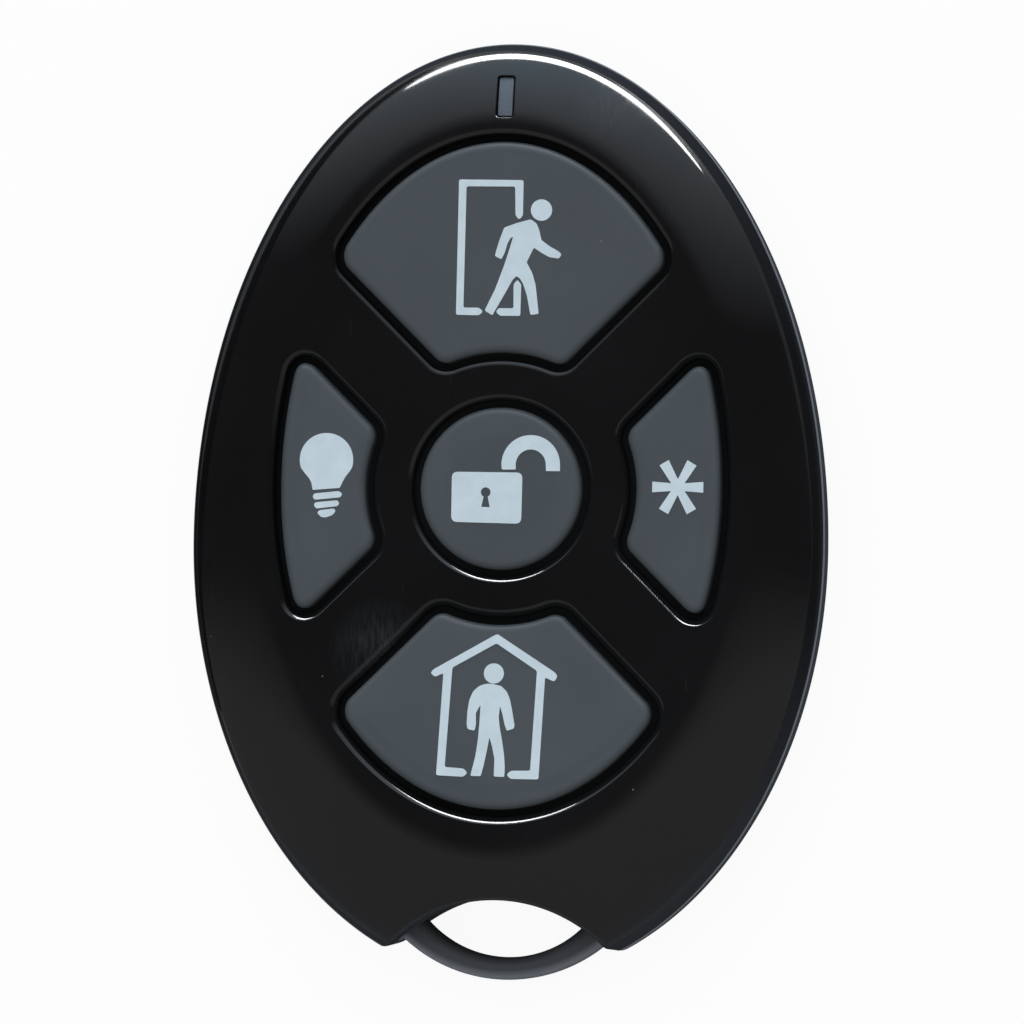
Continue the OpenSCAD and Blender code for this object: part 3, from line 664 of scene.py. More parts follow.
class Wiring:
    """Places and joins the nodes of one tree."""

    def __init__(self, tree):
        self.tree = tree

    def plug(self, value, socket):
        """Joins an output to a socket, or sets the socket to a constant."""
        if isinstance(value, bpy.types.NodeSocket):
            self.tree.links.new(value, socket)
        else:
            socket.default_value = value

    def node(self, kind, inputs=(), **settings):
        """Places a node with its settings and inputs."""
        made = self.tree.nodes.new(kind)
        for key, value in settings.items():
            setattr(made, key, value)
        for key, value in dict(inputs).items():
            self.plug(value, made.inputs[key])
        return made

    def math(self, operation, *values):
        """Result of a sum."""
        return self.node("ShaderNodeMath", dict(enumerate(values)), operation=operation).outputs[0]

    def product(self, first, second):
        return self.math("MULTIPLY", first, second)

    def larger(self, first, second):
        return self.math("MAXIMUM", first, second)

    def between(self, value, low, high, start=0.0, end=1.0):
        """Where a value lies between two limits, from a start to an end."""
        limits = {"Value": value, "From Min": low, "From Max": high, "To Min": start, "To Max": end}
        return self.node("ShaderNodeMapRange", limits).outputs["Result"]

    def mix(self, share, first, second):
        """A colour between two colours."""
        return self.node("ShaderNodeMix", {0: share, 6: first, 7: second}, data_type="RGBA").outputs[2]

    def vector(self, operation, first, second):
        """Results of a sum of two vectors."""
        return self.node("ShaderNodeVectorMath", {0: first, 1: second}, operation=operation).outputs

    def split(self, vector):
        """The three parts of a vector."""
        return self.node("ShaderNodeSeparateXYZ", {0: vector}).outputs

    def noise(self, vector, scale, detail, **more):
        inputs = {"Vector": vector, "Scale": scale, "Detail": detail, **more}
        return self.node("ShaderNodeTexNoise", inputs).outputs["Fac"]

    def streaks(self, vector, turn, scale, detail):
        """Noise drawn out in one direction."""
        inputs = {"Vector": vector, "Rotation": (0.0, 0.0, turn), "Scale": scale}
        return self.noise(self.node("ShaderNodeMapping", inputs).outputs["Vector"], 1.0, detail)


def new_group(name, inputs, outputs):
    """A shader group with number sockets beside its vector, its wiring, and its two ends."""
    tree = bpy.data.node_groups.new(name, "ShaderNodeTree")
    tree.interface.new_socket("Vector", in_out="INPUT", socket_type="NodeSocketVector")
    for socket, value in inputs.items():
        made = tree.interface.new_socket(socket, in_out="INPUT", socket_type="NodeSocketFloat")
        made.default_value = value
    for socket in outputs:
        tree.interface.new_socket(socket, in_out="OUTPUT", socket_type="NodeSocketFloat")
    w = Wiring(tree)
    return tree, w, w.node("NodeGroupInput").outputs, w.node("NodeGroupOutput").inputs


def grain_group():
    """Moulded grain: a fine height and a slow tone that drifts over the piece."""
    known = bpy.data.node_groups.get("Moulded grain")
    if known:
        return known
    tree, w, given, out = new_group(
        "Moulded grain", {"Grain per metre": 8000.0, "Drift per metre": 120.0}, ("Height", "Tone"))
    w.plug(w.noise(given["Vector"], given["Grain per metre"], 3.0, Roughness=0.6), out["Height"])
    slow = w.noise(given["Vector"], given["Drift per metre"], 4.0, Roughness=0.55)
    w.plug(w.between(slow, 0.3, 0.7), out["Tone"])
    return tree


def marks_group():
    """Signs of use: specks of dust, hairline scratches and smears from fingers."""
    known = bpy.data.node_groups.get("Signs of use")
    if known:
        return known
    tree, w, given, out = new_group(
        "Signs of use", {"Specks per metre": 900.0, "Speck share": 0.04}, ("Dust", "Scratch", "Smear"))
    place = given["Vector"]
    cells = w.node("ShaderNodeTexVoronoi", {"Vector": place, "Scale": given["Specks per metre"],
                                            "Randomness": 1.0}).outputs
    lot = w.node("ShaderNodeSeparateColor", {"Color": cells["Color"]}).outputs
    chosen = w.math("LESS_THAN", lot["Red"], given["Speck share"])
    near = w.math("LESS_THAN", cells["Distance"], w.between(lot["Green"], 0, 1, 0.015, 0.05))
    w.plug(w.product(chosen, near), out["Dust"])
    hair = w.between(w.streaks(place, 0.7, (9000.0, 520.0, 520.0), 2.0), 0.68, 0.74)
    w.plug(w.product(hair, w.between(w.noise(place, 160.0, 2.0), 0.5, 0.66)), out["Scratch"])
    smear = w.noise(place, 90.0, 5.0, Roughness=0.62, Distortion=0.6)
    w.plug(w.between(smear, 0.42, 0.68), out["Smear"])
    return tree


class Finish(Wiring):
    """A material with its shader, the piece's own coordinates and the shared groups."""

    def __init__(self, name):
        self.material = bpy.data.materials.new(name)
        self.material.use_nodes = True
        super().__init__(self.material.node_tree)
        self.shader = self.tree.nodes["Principled BSDF"]
        self.place = self.node("ShaderNodeTexCoord").outputs["Object"]

    def facing(self):
        """Parts of the direction that the surface faces."""
        return self.split(self.node("ShaderNodeTexCoord").outputs["Normal"])

    def grain(self, per_metre, drift):
        """Height and tone of the moulded grain."""
        inputs = {"Vector": self.place, "Grain per metre": per_metre, "Drift per metre": drift}
        return self.node("ShaderNodeGroup", inputs, node_tree=grain_group()).outputs

    def marks(self, specks, share):
        """Dust, scratches and smears."""
        inputs = {"Vector": self.place, "Specks per metre": specks, "Speck share": share}
        return self.node("ShaderNodeGroup", inputs, node_tree=marks_group()).outputs

    def done(self, inputs, height=None, strength=0.0, distance=0.0):
        """Fills the shader's inputs, bumps it by a height, and returns the material."""
        for key, value in inputs.items():
            self.plug(value, self.shader.inputs[key])
        if height is not None:
            bump = self.node("ShaderNodeBump", {"Height": height, "Strength": strength, "Distance": distance})
            self.plug(bump.outputs["Normal"], self.shader.inputs["Normal"])
        return self.material


def shade(colour, factor=1.0):
    """A colour made darker or lighter, for a socket."""
    return (*[part * factor for part in colour], 1.0)


# Places where the gloss is rubbed dull: their middles, reach and strength
RUBBED = (((-7.6, -8.8, 11.1), 3.4, 0.3), ((6.9, 26.0, 11.2), 2.8, 0.3))
RUBBED_COLOUR = (0.07, 0.076, 0.082, 1.0)
SCRATCH_COLOUR = (0.2, 0.2, 0.21, 1.0)
COVER_DUST = (0.42, 0.42, 0.41, 1.0)
TRAY_SCRATCH = (0.16, 0.17, 0.18, 1.0)
KEY_DUST = (0.4, 0.41, 0.42, 1.0)
INNER_DUST = (0.4, 0.4, 0.39, 1.0)
WHITE = (1.0, 1.0, 1.0, 1.0)


def rubbed_places(f):
    """Mask of the rubbed places, in fine streaks."""
    mask = 0.0
    for middle, reach, strength in RUBBED:
        away = f.vector("DISTANCE", f.place, Vector(middle) * MM)["Value"]
        mask = f.larger(mask, f.between(away, reach * MM, 0.2 * reach * MM, 0.0, strength))
    return f.product(mask, f.between(f.streaks(f.place, 0.25, (5200.0, 900.0, 900.0), 3.0), 0.25, 0.8))


def gloss_cover(finish):
    """Polished black plastic with faint ripple, hairlines, smears and specks of dust, and a satin side wall
    with painted light at its ends and foot.
    """
    f = Finish("gloss black cover")
    grain, marks = f.grain(700.0, 60.0), f.marks(800.0, 0.08)
    facing, where = f.facing(), f.split(f.place)

    # The satin side wall, with painted light: lighter where it faces the nose or the tail and along its foot
    below = f.between(where["Z"], (SHOULDER_Z + 0.6) * MM, (SHOULDER_Z + 0.2) * MM)
    notched = f.between(where["Y"], -21.0 * MM, -22.0 * MM)
    wall = f.larger(f.product(f.between(facing["Z"], 0.71, 0.66), below),
                    f.product(f.between(facing["Z"], 0.92, 0.7), notched))
    ends = f.larger(f.between(facing["Y"], 0.25, 0.85), f.between(facing["Y"], -0.1, -0.5))
    foot = f.between(where["Z"], (PARTING + 1.2) * MM, PARTING * MM, 0.0, 0.6)
    side = f.mix(f.larger(ends, foot), shade(finish.cover, 2.6), shade(finish.painted_lit_wall))

    face = f.mix(grain["Tone"], shade(finish.cover, 0.75), shade(finish.cover, 1.5))
    rubbed = rubbed_places(f)
    base = f.mix(f.product(marks["Scratch"], 0.05), f.mix(wall, face, side), SCRATCH_COLOUR)
    base = f.mix(f.product(marks["Dust"], 0.3), f.mix(rubbed, base, RUBBED_COLOUR), COVER_DUST)
    rough = f.between(marks["Smear"], 0, 1, finish.cover_roughness, finish.cover_roughness + 0.08)
    for mask, more in ((marks["Dust"], 0.4), (marks["Scratch"], 0.12), (rubbed, 0.3), (wall, 0.4)):
        rough = f.math("MULTIPLY_ADD", mask, more, rough)
    return f.done({"Base Color": base, "Roughness": rough,
                   "Specular IOR Level": f.between(wall, 0, 1, 0.5, 0.0)}, grain["Height"], 0.05, 0.00002)


def satin_tray(finish):
    """Dark grey plastic with a fine spark-eroded texture, and a painted highlight along the parting line and
    on the outer edge of the key-ring bar.
    """
    f = Finish("satin grey tray")
    grain, marks = f.grain(6000.0, 90.0), f.marks(600.0, 0.03)
    facing, where = f.facing()["Z"], f.split(f.place)

    # Painted highlight: a light band on the upward-facing corner along the parting line
    parting_highlight = f.product(f.between(facing, 0.25, 0.5), f.between(facing, 0.95, 0.85))
    for start, end in ((-0.4, -0.25), (0.2, 0.1)):
        parting_highlight = f.product(parting_highlight, f.between(where["Z"], (PARTING + start) * MM, (PARTING + end) * MM))

    # Painted highlight along the outer edge of the key-ring bar
    plan = f.vector("MULTIPLY", f.place, (1.0, 1.0, 0.0))["Vector"]
    away = f.vector("DISTANCE", plan, (0.0, (TAIL + LOOP_OUTER_R) * MM, 0.0))["Value"]
    bar = f.between(away, (LOOP_OUTER_R - 0.65) * MM, (LOOP_OUTER_R - 0.25) * MM, 0.0, 0.8)
    bar = f.product(bar, f.between(where["Y"], -24.5 * MM, -25.5 * MM))
    bar = f.product(bar, f.between(away, (LOOP_OUTER_R + 0.12) * MM, LOOP_OUTER_R * MM))

    base = f.mix(f.product(grain["Tone"], 0.35), shade(finish.tray), shade(finish.tray, 0.8))
    base = f.mix(f.product(marks["Scratch"], 0.25), base, TRAY_SCRATCH)
    sheen = f.product(f.between(f.math("ABSOLUTE", facing), 0.3, 0.6), 0.12)
    # Painted highlights: the parting corner and the bar's outer edge take three times the tray's colour
    return f.done({"Base Color": f.mix(f.larger(parting_highlight, bar), base, shade(finish.tray, 3.0)),
                   "Roughness": f.between(marks["Smear"], 0, 1, 0.42, 0.54),
                   "Specular IOR Level": sheen}, grain["Height"], 0.25, 0.00003)


def soft_key(finish):
    """Matte grey silicone with a powdery grain, a little dust, and painted shade low on its sides, where they
    sink into the gap round the key.
    """
    f = Finish("grey silicone key")
    grain, marks = f.grain(9000.0, 150.0), f.marks(800.0, 0.02)
    # Painted shade: below the dish the key's sides and flange go nearly black, so the gap round the key reads
    # as deep shade
    ridge = {"Location": (0.0, -RIDGE_Y / RIDGE_B, 0.0),
             "Scale": (1 / (RIDGE_A * MM), 1 / (RIDGE_B * MM), 0.0)}
    flat = f.node("ShaderNodeMapping", {"Vector": f.place, **ridge}).outputs["Vector"]
    bowl = f.vector("DOT_PRODUCT", flat, flat)["Value"]
    dish = f.math("ADD", f.product(bowl, DISH_DEPTH * MM), DISH_FLOOR * MM)
    unshaded = f.between(f.math("SUBTRACT", f.split(f.place)["Z"], dish), -0.7 * MM, -0.3 * MM)
    face = f.mix(grain["Tone"], shade(finish.key, 0.94), shade(finish.key, 1.05))
    base = f.mix(unshaded, shade(finish.key, 0.06), face)
    rough = f.between(marks["Smear"], 0, 1, finish.key_roughness + 0.05, finish.key_roughness - 0.05)
    return f.done({"Base Color": f.mix(f.product(marks["Dust"], 0.35), base, KEY_DUST), "Roughness": rough,
                   "Specular IOR Level": 0.35, "Sheen Weight": 0.04}, grain["Height"], 0.22, 0.00002)


def sign_ink(finish):
    """Pale screen ink with a fine mottle and thin places."""
    f = Finish("pale sign ink")
    grain, marks = f.grain(12000.0, 900.0), f.marks(2500.0, 0.05)
    base = f.mix(grain["Tone"], shade(finish.sign, 0.9), shade(finish.sign))
    return f.done({"Base Color": f.mix(f.product(marks["Dust"], 0.3), base, shade(finish.key)),
                   "Roughness": f.between(grain["Tone"], 0, 1, 0.5, 0.62)}, grain["Height"], 0.15, 0.00001)


def frosted_window(finish):
    """Milky light pipe with a moulded surface."""
    f = Finish("frosted window")
    grain = f.grain(9000.0, 700.0)
    return f.done({"Base Color": f.mix(grain["Tone"], shade(finish.window, 0.82), shade(finish.window)),
                   "Roughness": f.between(grain["Height"], 0, 1, 0.2, 0.34),
                   "IOR": 1.49, "Transmission Weight": 0.25}, grain["Height"], 0.08, 0.00001)


def inner_finish(name, display, roughness, metallic, grain_scale, bump):
    """Finish of a piece inside the case: its colour drifts a little and its surface is grained."""
    f = Finish(name)
    grain, marks = f.grain(grain_scale, 200.0), f.marks(900.0, 0.03)
    base = f.mix(grain["Tone"], shade(linear(*display), 0.85), shade(linear(*display)))
    return f.done({"Base Color": f.mix(f.product(marks["Dust"], 0.2), base, INNER_DUST),
                   "Roughness": f.between(marks["Smear"], 0, 1, roughness - 0.04, roughness + 0.06),
                   "Metallic": metallic}, grain["Height"], bump, 0.00002)


class FOB_OT_front_cover(bpy.types.Operator):
    """Build the gloss front cover with its ridge, dish, key openings and notch"""

    bl_idname = "fob.front_cover"
    bl_label = "Front cover"

    def execute(self, context):
        sizes = context.scene.fob_sizes
        bm = bmesh.new()
        openings = [(name, respace(grow(key_outline(name), KEY_GAP), HOLE_STEP), sizes.opening_edge / MM)
                    for name in KEY_NAMES]
        openings.append(("slot", slot_outline(0), sizes.slot_edge / MM))
        wall = self.wall(bm, sizes.parting_edge / MM)
        face = self.face(bm, openings, sizes.notch_edge / MM)
        skin(bm, wall + face[:1])
        below = self.inner_face(bm, wall[0], [outline for _, outline, _ in openings])
        for upper, lower in zip(face[1:], below):
            skin(bm, [upper, lower])
        place_piece(bm, "front_cover_shell", "case", gloss_cover(context.scene.fob_finish),
                    ["front_cover"])
        return {"FINISHED"}

    def wall(self, bm, bevel):
        """Side wall, from the parting line to the shoulder's corner."""
        steps = [(1.5 * bevel, PARTING), (bevel / 2, PARTING + bevel)]
        for turn in np.linspace(WALL_DRAFT, RIM_STEEP, 6)[:-1]:
            steps.append((SHOULDER_INSET + SHOULDER_R * (math.cos(RIM_STEEP) - math.cos(turn)),
                          SHOULDER_Z + SHOULDER_R * (math.sin(turn) - math.sin(RIM_STEEP))))
        return hoops(bm, notch_half(), steps)

    def face(self, bm, openings, radius):
        """Front face: a sheet through the notch's rounded edge, the openings and the slot."""
        edge = clipped_outline(SHOULDER_INSET, notch_half())
        bite = edge[EGG_POINTS:]
        heights = np.full(len(edge), SHOULDER_Z)
        heights[EGG_POINTS:] = np.maximum(SHOULDER_Z, face_height(bite) - radius)
        along = np.gradient(bite, axis=0)
        away = np.stack([-along[:, 1], along[:, 0]], 1) / np.linalg.norm(along, axis=1)[:, None]
        spread = []
        for offset, drop in rounding(radius, 5)[1:] + [(radius + row, 0.0) for row in NOTCH_ROWS]:
            points = bite + offset * away
            points = points[egg_inset(points) > SHOULDER_INSET + CORNER_CLEAR]
            spread.append(lift(points, np.maximum(SHOULDER_Z, face_height(points) - drop)))
        holes, folds, borders = [], [], []
        for name, outline, rounded in openings:
            bevel = OPENING_BEVEL.get(name, SOFT_BEVEL)
            profile = rounding(rounded, 8) if name == PLAIN_OPENING else bevelled(rounded, *bevel)
            reach = profile[-1][0]
            holes.append(drape(outline, face_height, profile[0][1]))
            for offset, drop in profile[1:] + [(reach + EDGE_ROW, 0.0)]:
                folds.append(drape(grow(outline, offset), face_height, drop))
            borders.append(grow(outline, reach + EDGE_CLEAR))
        grid = comb(DISH_STEP, (-RIDGE_A, RIDGE_TAIL), (RIDGE_A, RIDGE_NOSE))
        plan = strewn(map(rim_shape, RIM_SHARES), grid[rim_share(grid) > GRID_SHARE])
        plan = clear_of(plan[nearest(plan, bite) > radius + SHEET_CLEAR], borders)
        spread.append(drape(plan, face_height))
        return sheet(bm, lift(edge, heights), holes, folds, np.concatenate(spread), face_height)

    def inner_face(self, bm, foot, outlines):
        """Inner face, with the bosses that meet the board. Returns the lower edges of the openings."""
        backing = backing_half()
        lip, step = WALL - LIP_T - FIT, PARTING + LIP_H + FIT
        inner = hoops(bm, backing, [(lip, PARTING), (lip, step), (WALL, step)])
        rim = clipped_outline(WALL + FIT, backing)
        bosses = [circle(BOSS_R, place, BOSS_POINTS) for place in SCREW_PLACES + POST_PLACES]
        holes = outlines + bosses
        plan = comb(CEILING_STEP, (-HALF_WIDTH, TAIL), (HALF_WIDTH, NOSE))
        plan = plan[inside(plan, grow(rim, -SHEET_CLEAR))]
        plan = clear_of(plan, [grow(hole, CEILING_CLEAR) for hole in holes])
        rings = sheet(bm, lift(rim, HAUNCH), [drape(hole, ceiling_height) for hole in holes], [],
                      drape(plan, ceiling_height), ceiling_height)
        skin(bm, [foot] + inner + rings[:1])
        for boss, loop in zip(bosses, rings[1 + len(outlines):]):
            end = ring(bm, lift(boss, BOARD_TOP))
            skin(bm, [loop, end])
            cap(bm, end)
        return rings[1:1 + len(outlines)]


class FOB_OT_rear_cover(bpy.types.Operator):
    """Build the satin rear cover with its rolled belly, screw wells and key-ring bar"""

    bl_idname = "fob.rear_cover"
    bl_label = "Rear cover"

    def execute(self, context):
        bm = bmesh.new()
        notch, backing = notch_half(), backing_half()
        bevel = context.scene.fob_sizes.parting_edge / MM
        roll = np.linspace(0, np.pi / 2, 21)
        flat = 12
        outside = [(BELLY_R * (1 - math.sin(q)), BELLY_R * (1 - math.cos(q))) for q in roll]
        within = [(WALL + (BELLY_R - WALL) * (1 - math.sin(q)), FLOOR + (BELLY_R - FLOOR) * (1 - math.cos(q)))
                  for q in roll[::2]]
        lip, top = WALL - LIP_T, PARTING + LIP_H
        upright = hoops(bm, notch, outside[flat + 1:] + [(0.0, PARTING - bevel), (bevel, PARTING)])
        lining = hoops(bm, backing, [(lip, PARTING), (lip, top), (WALL, top)] + within[:flat // 2:-1])
        skin(bm, upright + lining)

        # The underside with the mouths of the screw wells, and the inner floor with the feet of the bosses
        well, hole = SCREW_HEAD_R + SCREW_GAP, SCREW_R + SCREW_GAP
        mouths = [circle(well, place, TURNED_POINTS) for place in SCREW_PLACES]
        lips = [circle(well + bevel, place, TURNED_POINTS) for place in SCREW_PLACES]
        below = self.face(bm, clipped_outline(outside[flat][0], notch), notch, outside[:flat], belly_height,
                          [drape(loop, belly_height, -bevel) for loop in mouths],
                          [drape(loop, belly_height) for loop in lips])
        skin(bm, [below[0], upright[0]])
        feet = [circle(BOSS_FOOT_R, place, TURNED_POINTS) for place in SCREW_PLACES]
        feet += [circle(BOSS_R, place, TURNED_POINTS) for place in POST_PLACES]
        above = self.face(bm, clipped_outline(within[flat // 2][0], backing), backing, within[:flat // 2],
                          tray_height, [drape(loop, tray_height) for loop in feet], [])
        skin(bm, [above[0], lining[-1]])
        for place, mouth, foot in zip(SCREW_PLACES, below[1:], above[1:]):
            boss = [(well, SCREW_SEAT), (hole, SCREW_SEAT), (hole, BOARD_Z), (BOSS_R, BOARD_Z),
                    (BOSS_R, BOSS_FOOT_TOP), (BOSS_FOOT_R, BOSS_FOOT_TOP)]
            skin(bm, [mouth] + turned(bm, place, boss) + [foot])
        for place, foot in zip(POST_PLACES, above[1 + len(SCREW_PLACES):]):
            post = [foot] + turned(bm, place, [(BOSS_R, BOARD_Z), (PIN_R, BOARD_Z), (PIN_R, PIN_TOP)])
            skin(bm, post)
            cap(bm, post[-1])
        self.key_ring_bar(bm)
        place_piece(bm, "rear_cover_tray", "case", satin_tray(context.scene.fob_finish),
                    ["rear_cover"])
        return {"FINISHED"}

    def face(self, bm, outline, half, steps, height, holes, folds):
        """Sheet through nested outlines of the case, clear of the notch and of the holes."""
        grid = comb(BELLY_STEP, (-HALF_WIDTH, TAIL), (HALF_WIDTH, NOSE))
        plan = strewn([egg_shape(inset) for inset, _ in steps], grid[egg_inset(grid) > BELLY_R + SHEET_CLEAR])
        plan = plan[inside(plan, outline)]
        plan = plan[nearest(plan, np.concatenate([half, half * (-1, 1)])) > EDGE_CLEAR]
        plan = clear_of(plan, [grow(hole[:, :2], EDGE_CLEAR) for hole in holes])
        return sheet(bm, drape(outline, height), holes, folds, drape(plan, height), height)

    def key_ring_bar(self, bm, sections=49, sides=28):
        """Sweeps the bar's rounded section between its outer and its inner arc."""
        reach = NOTCH_R + WALL / 2
        arcs = []
        for tail, radius in ((TAIL, LOOP_OUTER_R), (TAIL + LOOP_W, LOOP_INNER_R)):
            middle = tail + radius
            meet = (radius ** 2 - reach ** 2 - middle ** 2 + NOTCH_Y ** 2) / (2 * (NOTCH_Y - middle))
            turns = np.linspace(-1, 1, sections) * math.acos((middle - meet) / radius)
            arcs.append(np.stack([radius * np.sin(turns), middle - radius * np.cos(turns)], 1))
        around = full_turn(sides)
        across, up = (np.sign(f) * abs(f) ** LOOP_SQUARENESS for f in (np.cos(around), np.sin(around)))
        height = LOOP_TOP - LOOP_H / 2 * (1 - up)
        loft(bm, [lift((outer + inner) / 2 + np.outer(across, (outer - inner) / 2), height)
                  for outer, inner in zip(*arcs)])


class FOB_OT_keys(bpy.types.Operator):
    """Build the five silicone keys, each with its flange and stem"""

    bl_idname = "fob.keys"
    bl_label = "Keys"

    def execute(self, context):
        finish = soft_key(context.scene.fob_finish)
        edge = context.scene.fob_sizes.key_edge / MM
        for name in KEY_NAMES:
            outline, centre, crown = key_outline(name), key_centre(name), KEY_CROWN[name]
            foot = grow(outline, FLANGE_W)
            spokes = foot - centre
            stem = centre + STEM_R * spokes / np.linalg.norm(spokes, axis=1)[:, None]
            loops = [lift(stem, STEM_FOOT), lift(stem, FLANGE_Z), lift(foot, FLANGE_Z),
                     lift(foot, FLANGE_TOP), lift(outline, FLANGE_TOP)]
            for offset, drop in rounding(edge, 7):
                loops.append(drape(grow(outline, -offset), dish_height, crown + drop - KEY_PROUD))
            top = grow(outline, -edge)
            for share in KEY_SHARES:
                loop = centre + share * (top - centre)
                loops.append(drape(loop, dish_height, crown * share ** 6 - KEY_PROUD))
            bm = bmesh.new()
            loft(bm, loops)
            place_piece(bm, name + "_key_cap", name + "_button", finish, [name + "_key"])
        return {"FINISHED"}


# Middles of the signs, and the signs themselves in millimetres about them. A loop is a list of corners,
# and a sign's part is a loop, or a loop and the holes in it, with the softness of its corners.
SIGN_PLACES = {"away": (-0.05, 16.97), "disarm": (-0.05, 1.55), "stay": (-0.05, -13.07),
               "light": (-11.39, 1.55), "star": (11.29, 1.55)}
DOOR = [(-2.79, 4.0), (1.33, 3.98), (1.31, 1.74), (1.07, 1.47), (0.83, 1.74), (0.8, 3.57), (-2.31, 3.57),
        (-2.44, -4.12), (-1.43, -4.12), (-1.18, -4.36), (-1.43, -4.6), (-2.91, -4.58)]
DOORSTEP = [(0.75, -2.62), (0.99, -2.33), (1.24, -2.62), (1.2, -4.62), (-0.1, -4.62), (-0.36, -4.39),
            (-0.21, -4.14), (0.76, -4.14)]
WALKER = [(0.12, 0.97), (0.91, 1.26), (1.81, 1.5), (2.19, 1.24), (2.37, 0.77), (2.5, 0.19), (3.0, -0.18),
          (3.62, -0.53), (3.8, -0.71), (3.63, -0.98), (3.0, -0.88), (2.52, -0.62), (2.03, -0.29),
          (1.57, -1.22), (1.94, -1.9), (2.16, -2.66), (2.37, -4.48), (1.85, -4.56), (1.61, -3.34),
          (1.36, -2.59), (1.15, -2.25), (0.92, -2.09), (0.67, -2.36), (0.26, -3.11), (-0.59, -4.6),
          (-1.08, -4.29), (-0.43, -2.95), (0.11, -1.5), (0.44, -0.47), (0.7, 0.39), (0.54, 0.34),
          (0.33, -0.06), (0.17, -0.61), (-0.04, -1.05), (-0.47, -0.83), (-0.19, 0.14)]
HOUSE = [(0.0, 5.25), (3.76, 2.83), (3.9, 2.58), (3.68, 2.27), (3.1, 2.53), (2.79, -3.92), (1.01, -3.92),
         (0.75, -3.66), (1.01, -3.4), (2.25, -3.38), (2.58, 2.94), (-0.03, 4.65), (-2.82, 3.08),
         (-3.2, -3.22), (-2.0, -3.3), (-1.74, -3.57), (-2.0, -3.83), (-3.74, -3.75), (-3.39, 2.72),
         (-3.92, 2.47), (-4.21, 2.71), (-4.03, 2.95)]
STANDER = [(-0.31, 2.09), (0.31, 1.95), (0.67, 1.61), (0.88, 1.13), (1.03, 0.45), (1.21, -0.55),
           (1.16, -0.73), (0.71, -0.88), (0.56, -0.45), (0.41, 0.23), (0.25, 0.68), (0.19, -0.04),
           (0.26, -0.66), (0.41, -1.41), (0.56, -2.3), (0.63, -3.12), (0.61, -3.8), (-0.06, -3.78),
           (-0.04, -2.65), (-0.2, -1.9), (-0.38, -1.3), (-0.51, -2.04), (-0.73, -3.14), (-0.89, -3.77),
           (-1.56, -3.76), (-1.26, -2.53), (-1.11, -1.43), (-1.04, -0.47), (-0.98, 0.76), (-1.28, 0.21),
           (-1.25, -0.48), (-1.34, -0.9), (-1.79, -0.8), (-1.85, -0.48), (-1.82, 0.27), (-1.71, 1.03),
           (-1.48, 1.58), (-1.1, 1.93), (-0.72, 2.07)]
LOCK = [(-3.04, 0.88), (1.46, 0.87), (1.42, -2.38), (-3.05, -2.3)]
BULB_NECK = [(-1.29, 0.98), (-1.11, 0.72), (-0.79, 0.35), (-0.65, 0.08), (-0.57, -0.38), (1.16, -0.23),
             (1.31, 0.11), (1.5, 0.47), (1.81, 0.87), (1.91, 1.06)]
BULB_BARS = [
    [(-0.46, -0.6), (1.12, -0.43), (1.33, -0.61), (1.21, -0.83), (-0.44, -1.0), (-0.57, -0.81)],
    [(-0.37, -1.16), (1.01, -1.02), (1.15, -1.19), (1.04, -1.39), (-0.34, -1.56), (-0.49, -1.32)],
    [(-0.12, -1.66), (0.82, -1.54), (0.92, -1.73), (0.69, -1.98), (0.29, -2.12), (0.0, -2.1), (-0.27, -1.83)],
]


def arc(centre, radius, start, end, steps):
    """Points along part of a circle, with its ends in degrees."""
    return list(polar(centre, radius, np.radians(np.linspace(start, end, steps))))


def shackle():
    """Open shackle beside the lock's body."""
    centre = (1.98, 1.38)
    return ([(3.85, 0.98)] + arc(centre, 1.87, 0, 180, 36) + [(0.13, 1.1), (0.2, 1.05), (1.03, 1.06)]
            + arc(centre, 0.96, 180, 0, 24) + [(2.96, 0.98)])


def keyhole():
    """Keyhole in the lock's body: a round hole over a flared slot."""
    return ([(-0.6, -1.35), (-0.74, -0.67)] + arc((-0.87, -0.4), 0.31, -65, 245, 22)
            + [(-1.0, -0.67), (-1.14, -1.33)])


def six_arms(middle=(0.05, 0.04), half=0.34, notch=0.5):
    """Star of six arms; the level pair is a little shorter."""
    points = []
    for k in range(6):
        reach = 1.63 if k % 3 == 0 else 1.78
        tip, flare = math.hypot(reach, half), math.atan2(half, reach)
        turns = k * np.pi / 3 + np.array([-flare, flare, np.pi / 6])
        points += list(polar(middle, np.array([tip, tip, notch]), turns))
    return points


SIGNS = {
    "away": [([DOOR], 0.14), ([DOORSTEP], 0.12), ([arc((2.49, 2.09), 0.68, 0, 350, 36)], 0.0),
             ([WALKER], 0.1)],
    "disarm": [([LOCK, keyhole()], 0.38), ([shackle()], 0.05)],
    "stay": [([HOUSE], 0.14), ([arc((-0.17, 2.74), 0.64, 0, 350, 36)], 0.0), ([STANDER], 0.1)],
    "light": [([arc((0.29, 1.55), 1.7, -16, 199, 44) + BULB_NECK], 0.06),
              *(([bar], 0.12) for bar in BULB_BARS)],
    "star": [([six_arms()], 0.03)],
}


def soften(corners, reach, steps=5):
    """A loop with each corner drawn as a short curve that reaches back along both its sides."""
    corners = np.array(corners)
    before, after = np.roll(corners, 1, 0) - corners, np.roll(corners, -1, 0) - corners
    points = []
    for corner, back, on in zip(corners, before, after):
        start, end = (corner + side * min(0.45, reach / np.linalg.norm(side)) for side in (back, on))
        for t in np.linspace(0, 1, steps if reach else 1):
            points.append(start * (1 - t) ** 2 + corner * 2 * t * (1 - t) + end * t ** 2)
    return np.array(points)


def split_long(loop, longest=0.35):
    """A loop with extra points along its long sides, so that it can follow a curved face."""
    points = []
    for here, there in zip(loop, np.roll(loop, -1, 0)):
        count = max(1, math.ceil(np.linalg.norm(there - here) / longest))
        points += [here + (there - here) * k / count for k in range(count)]
    return np.array(points)


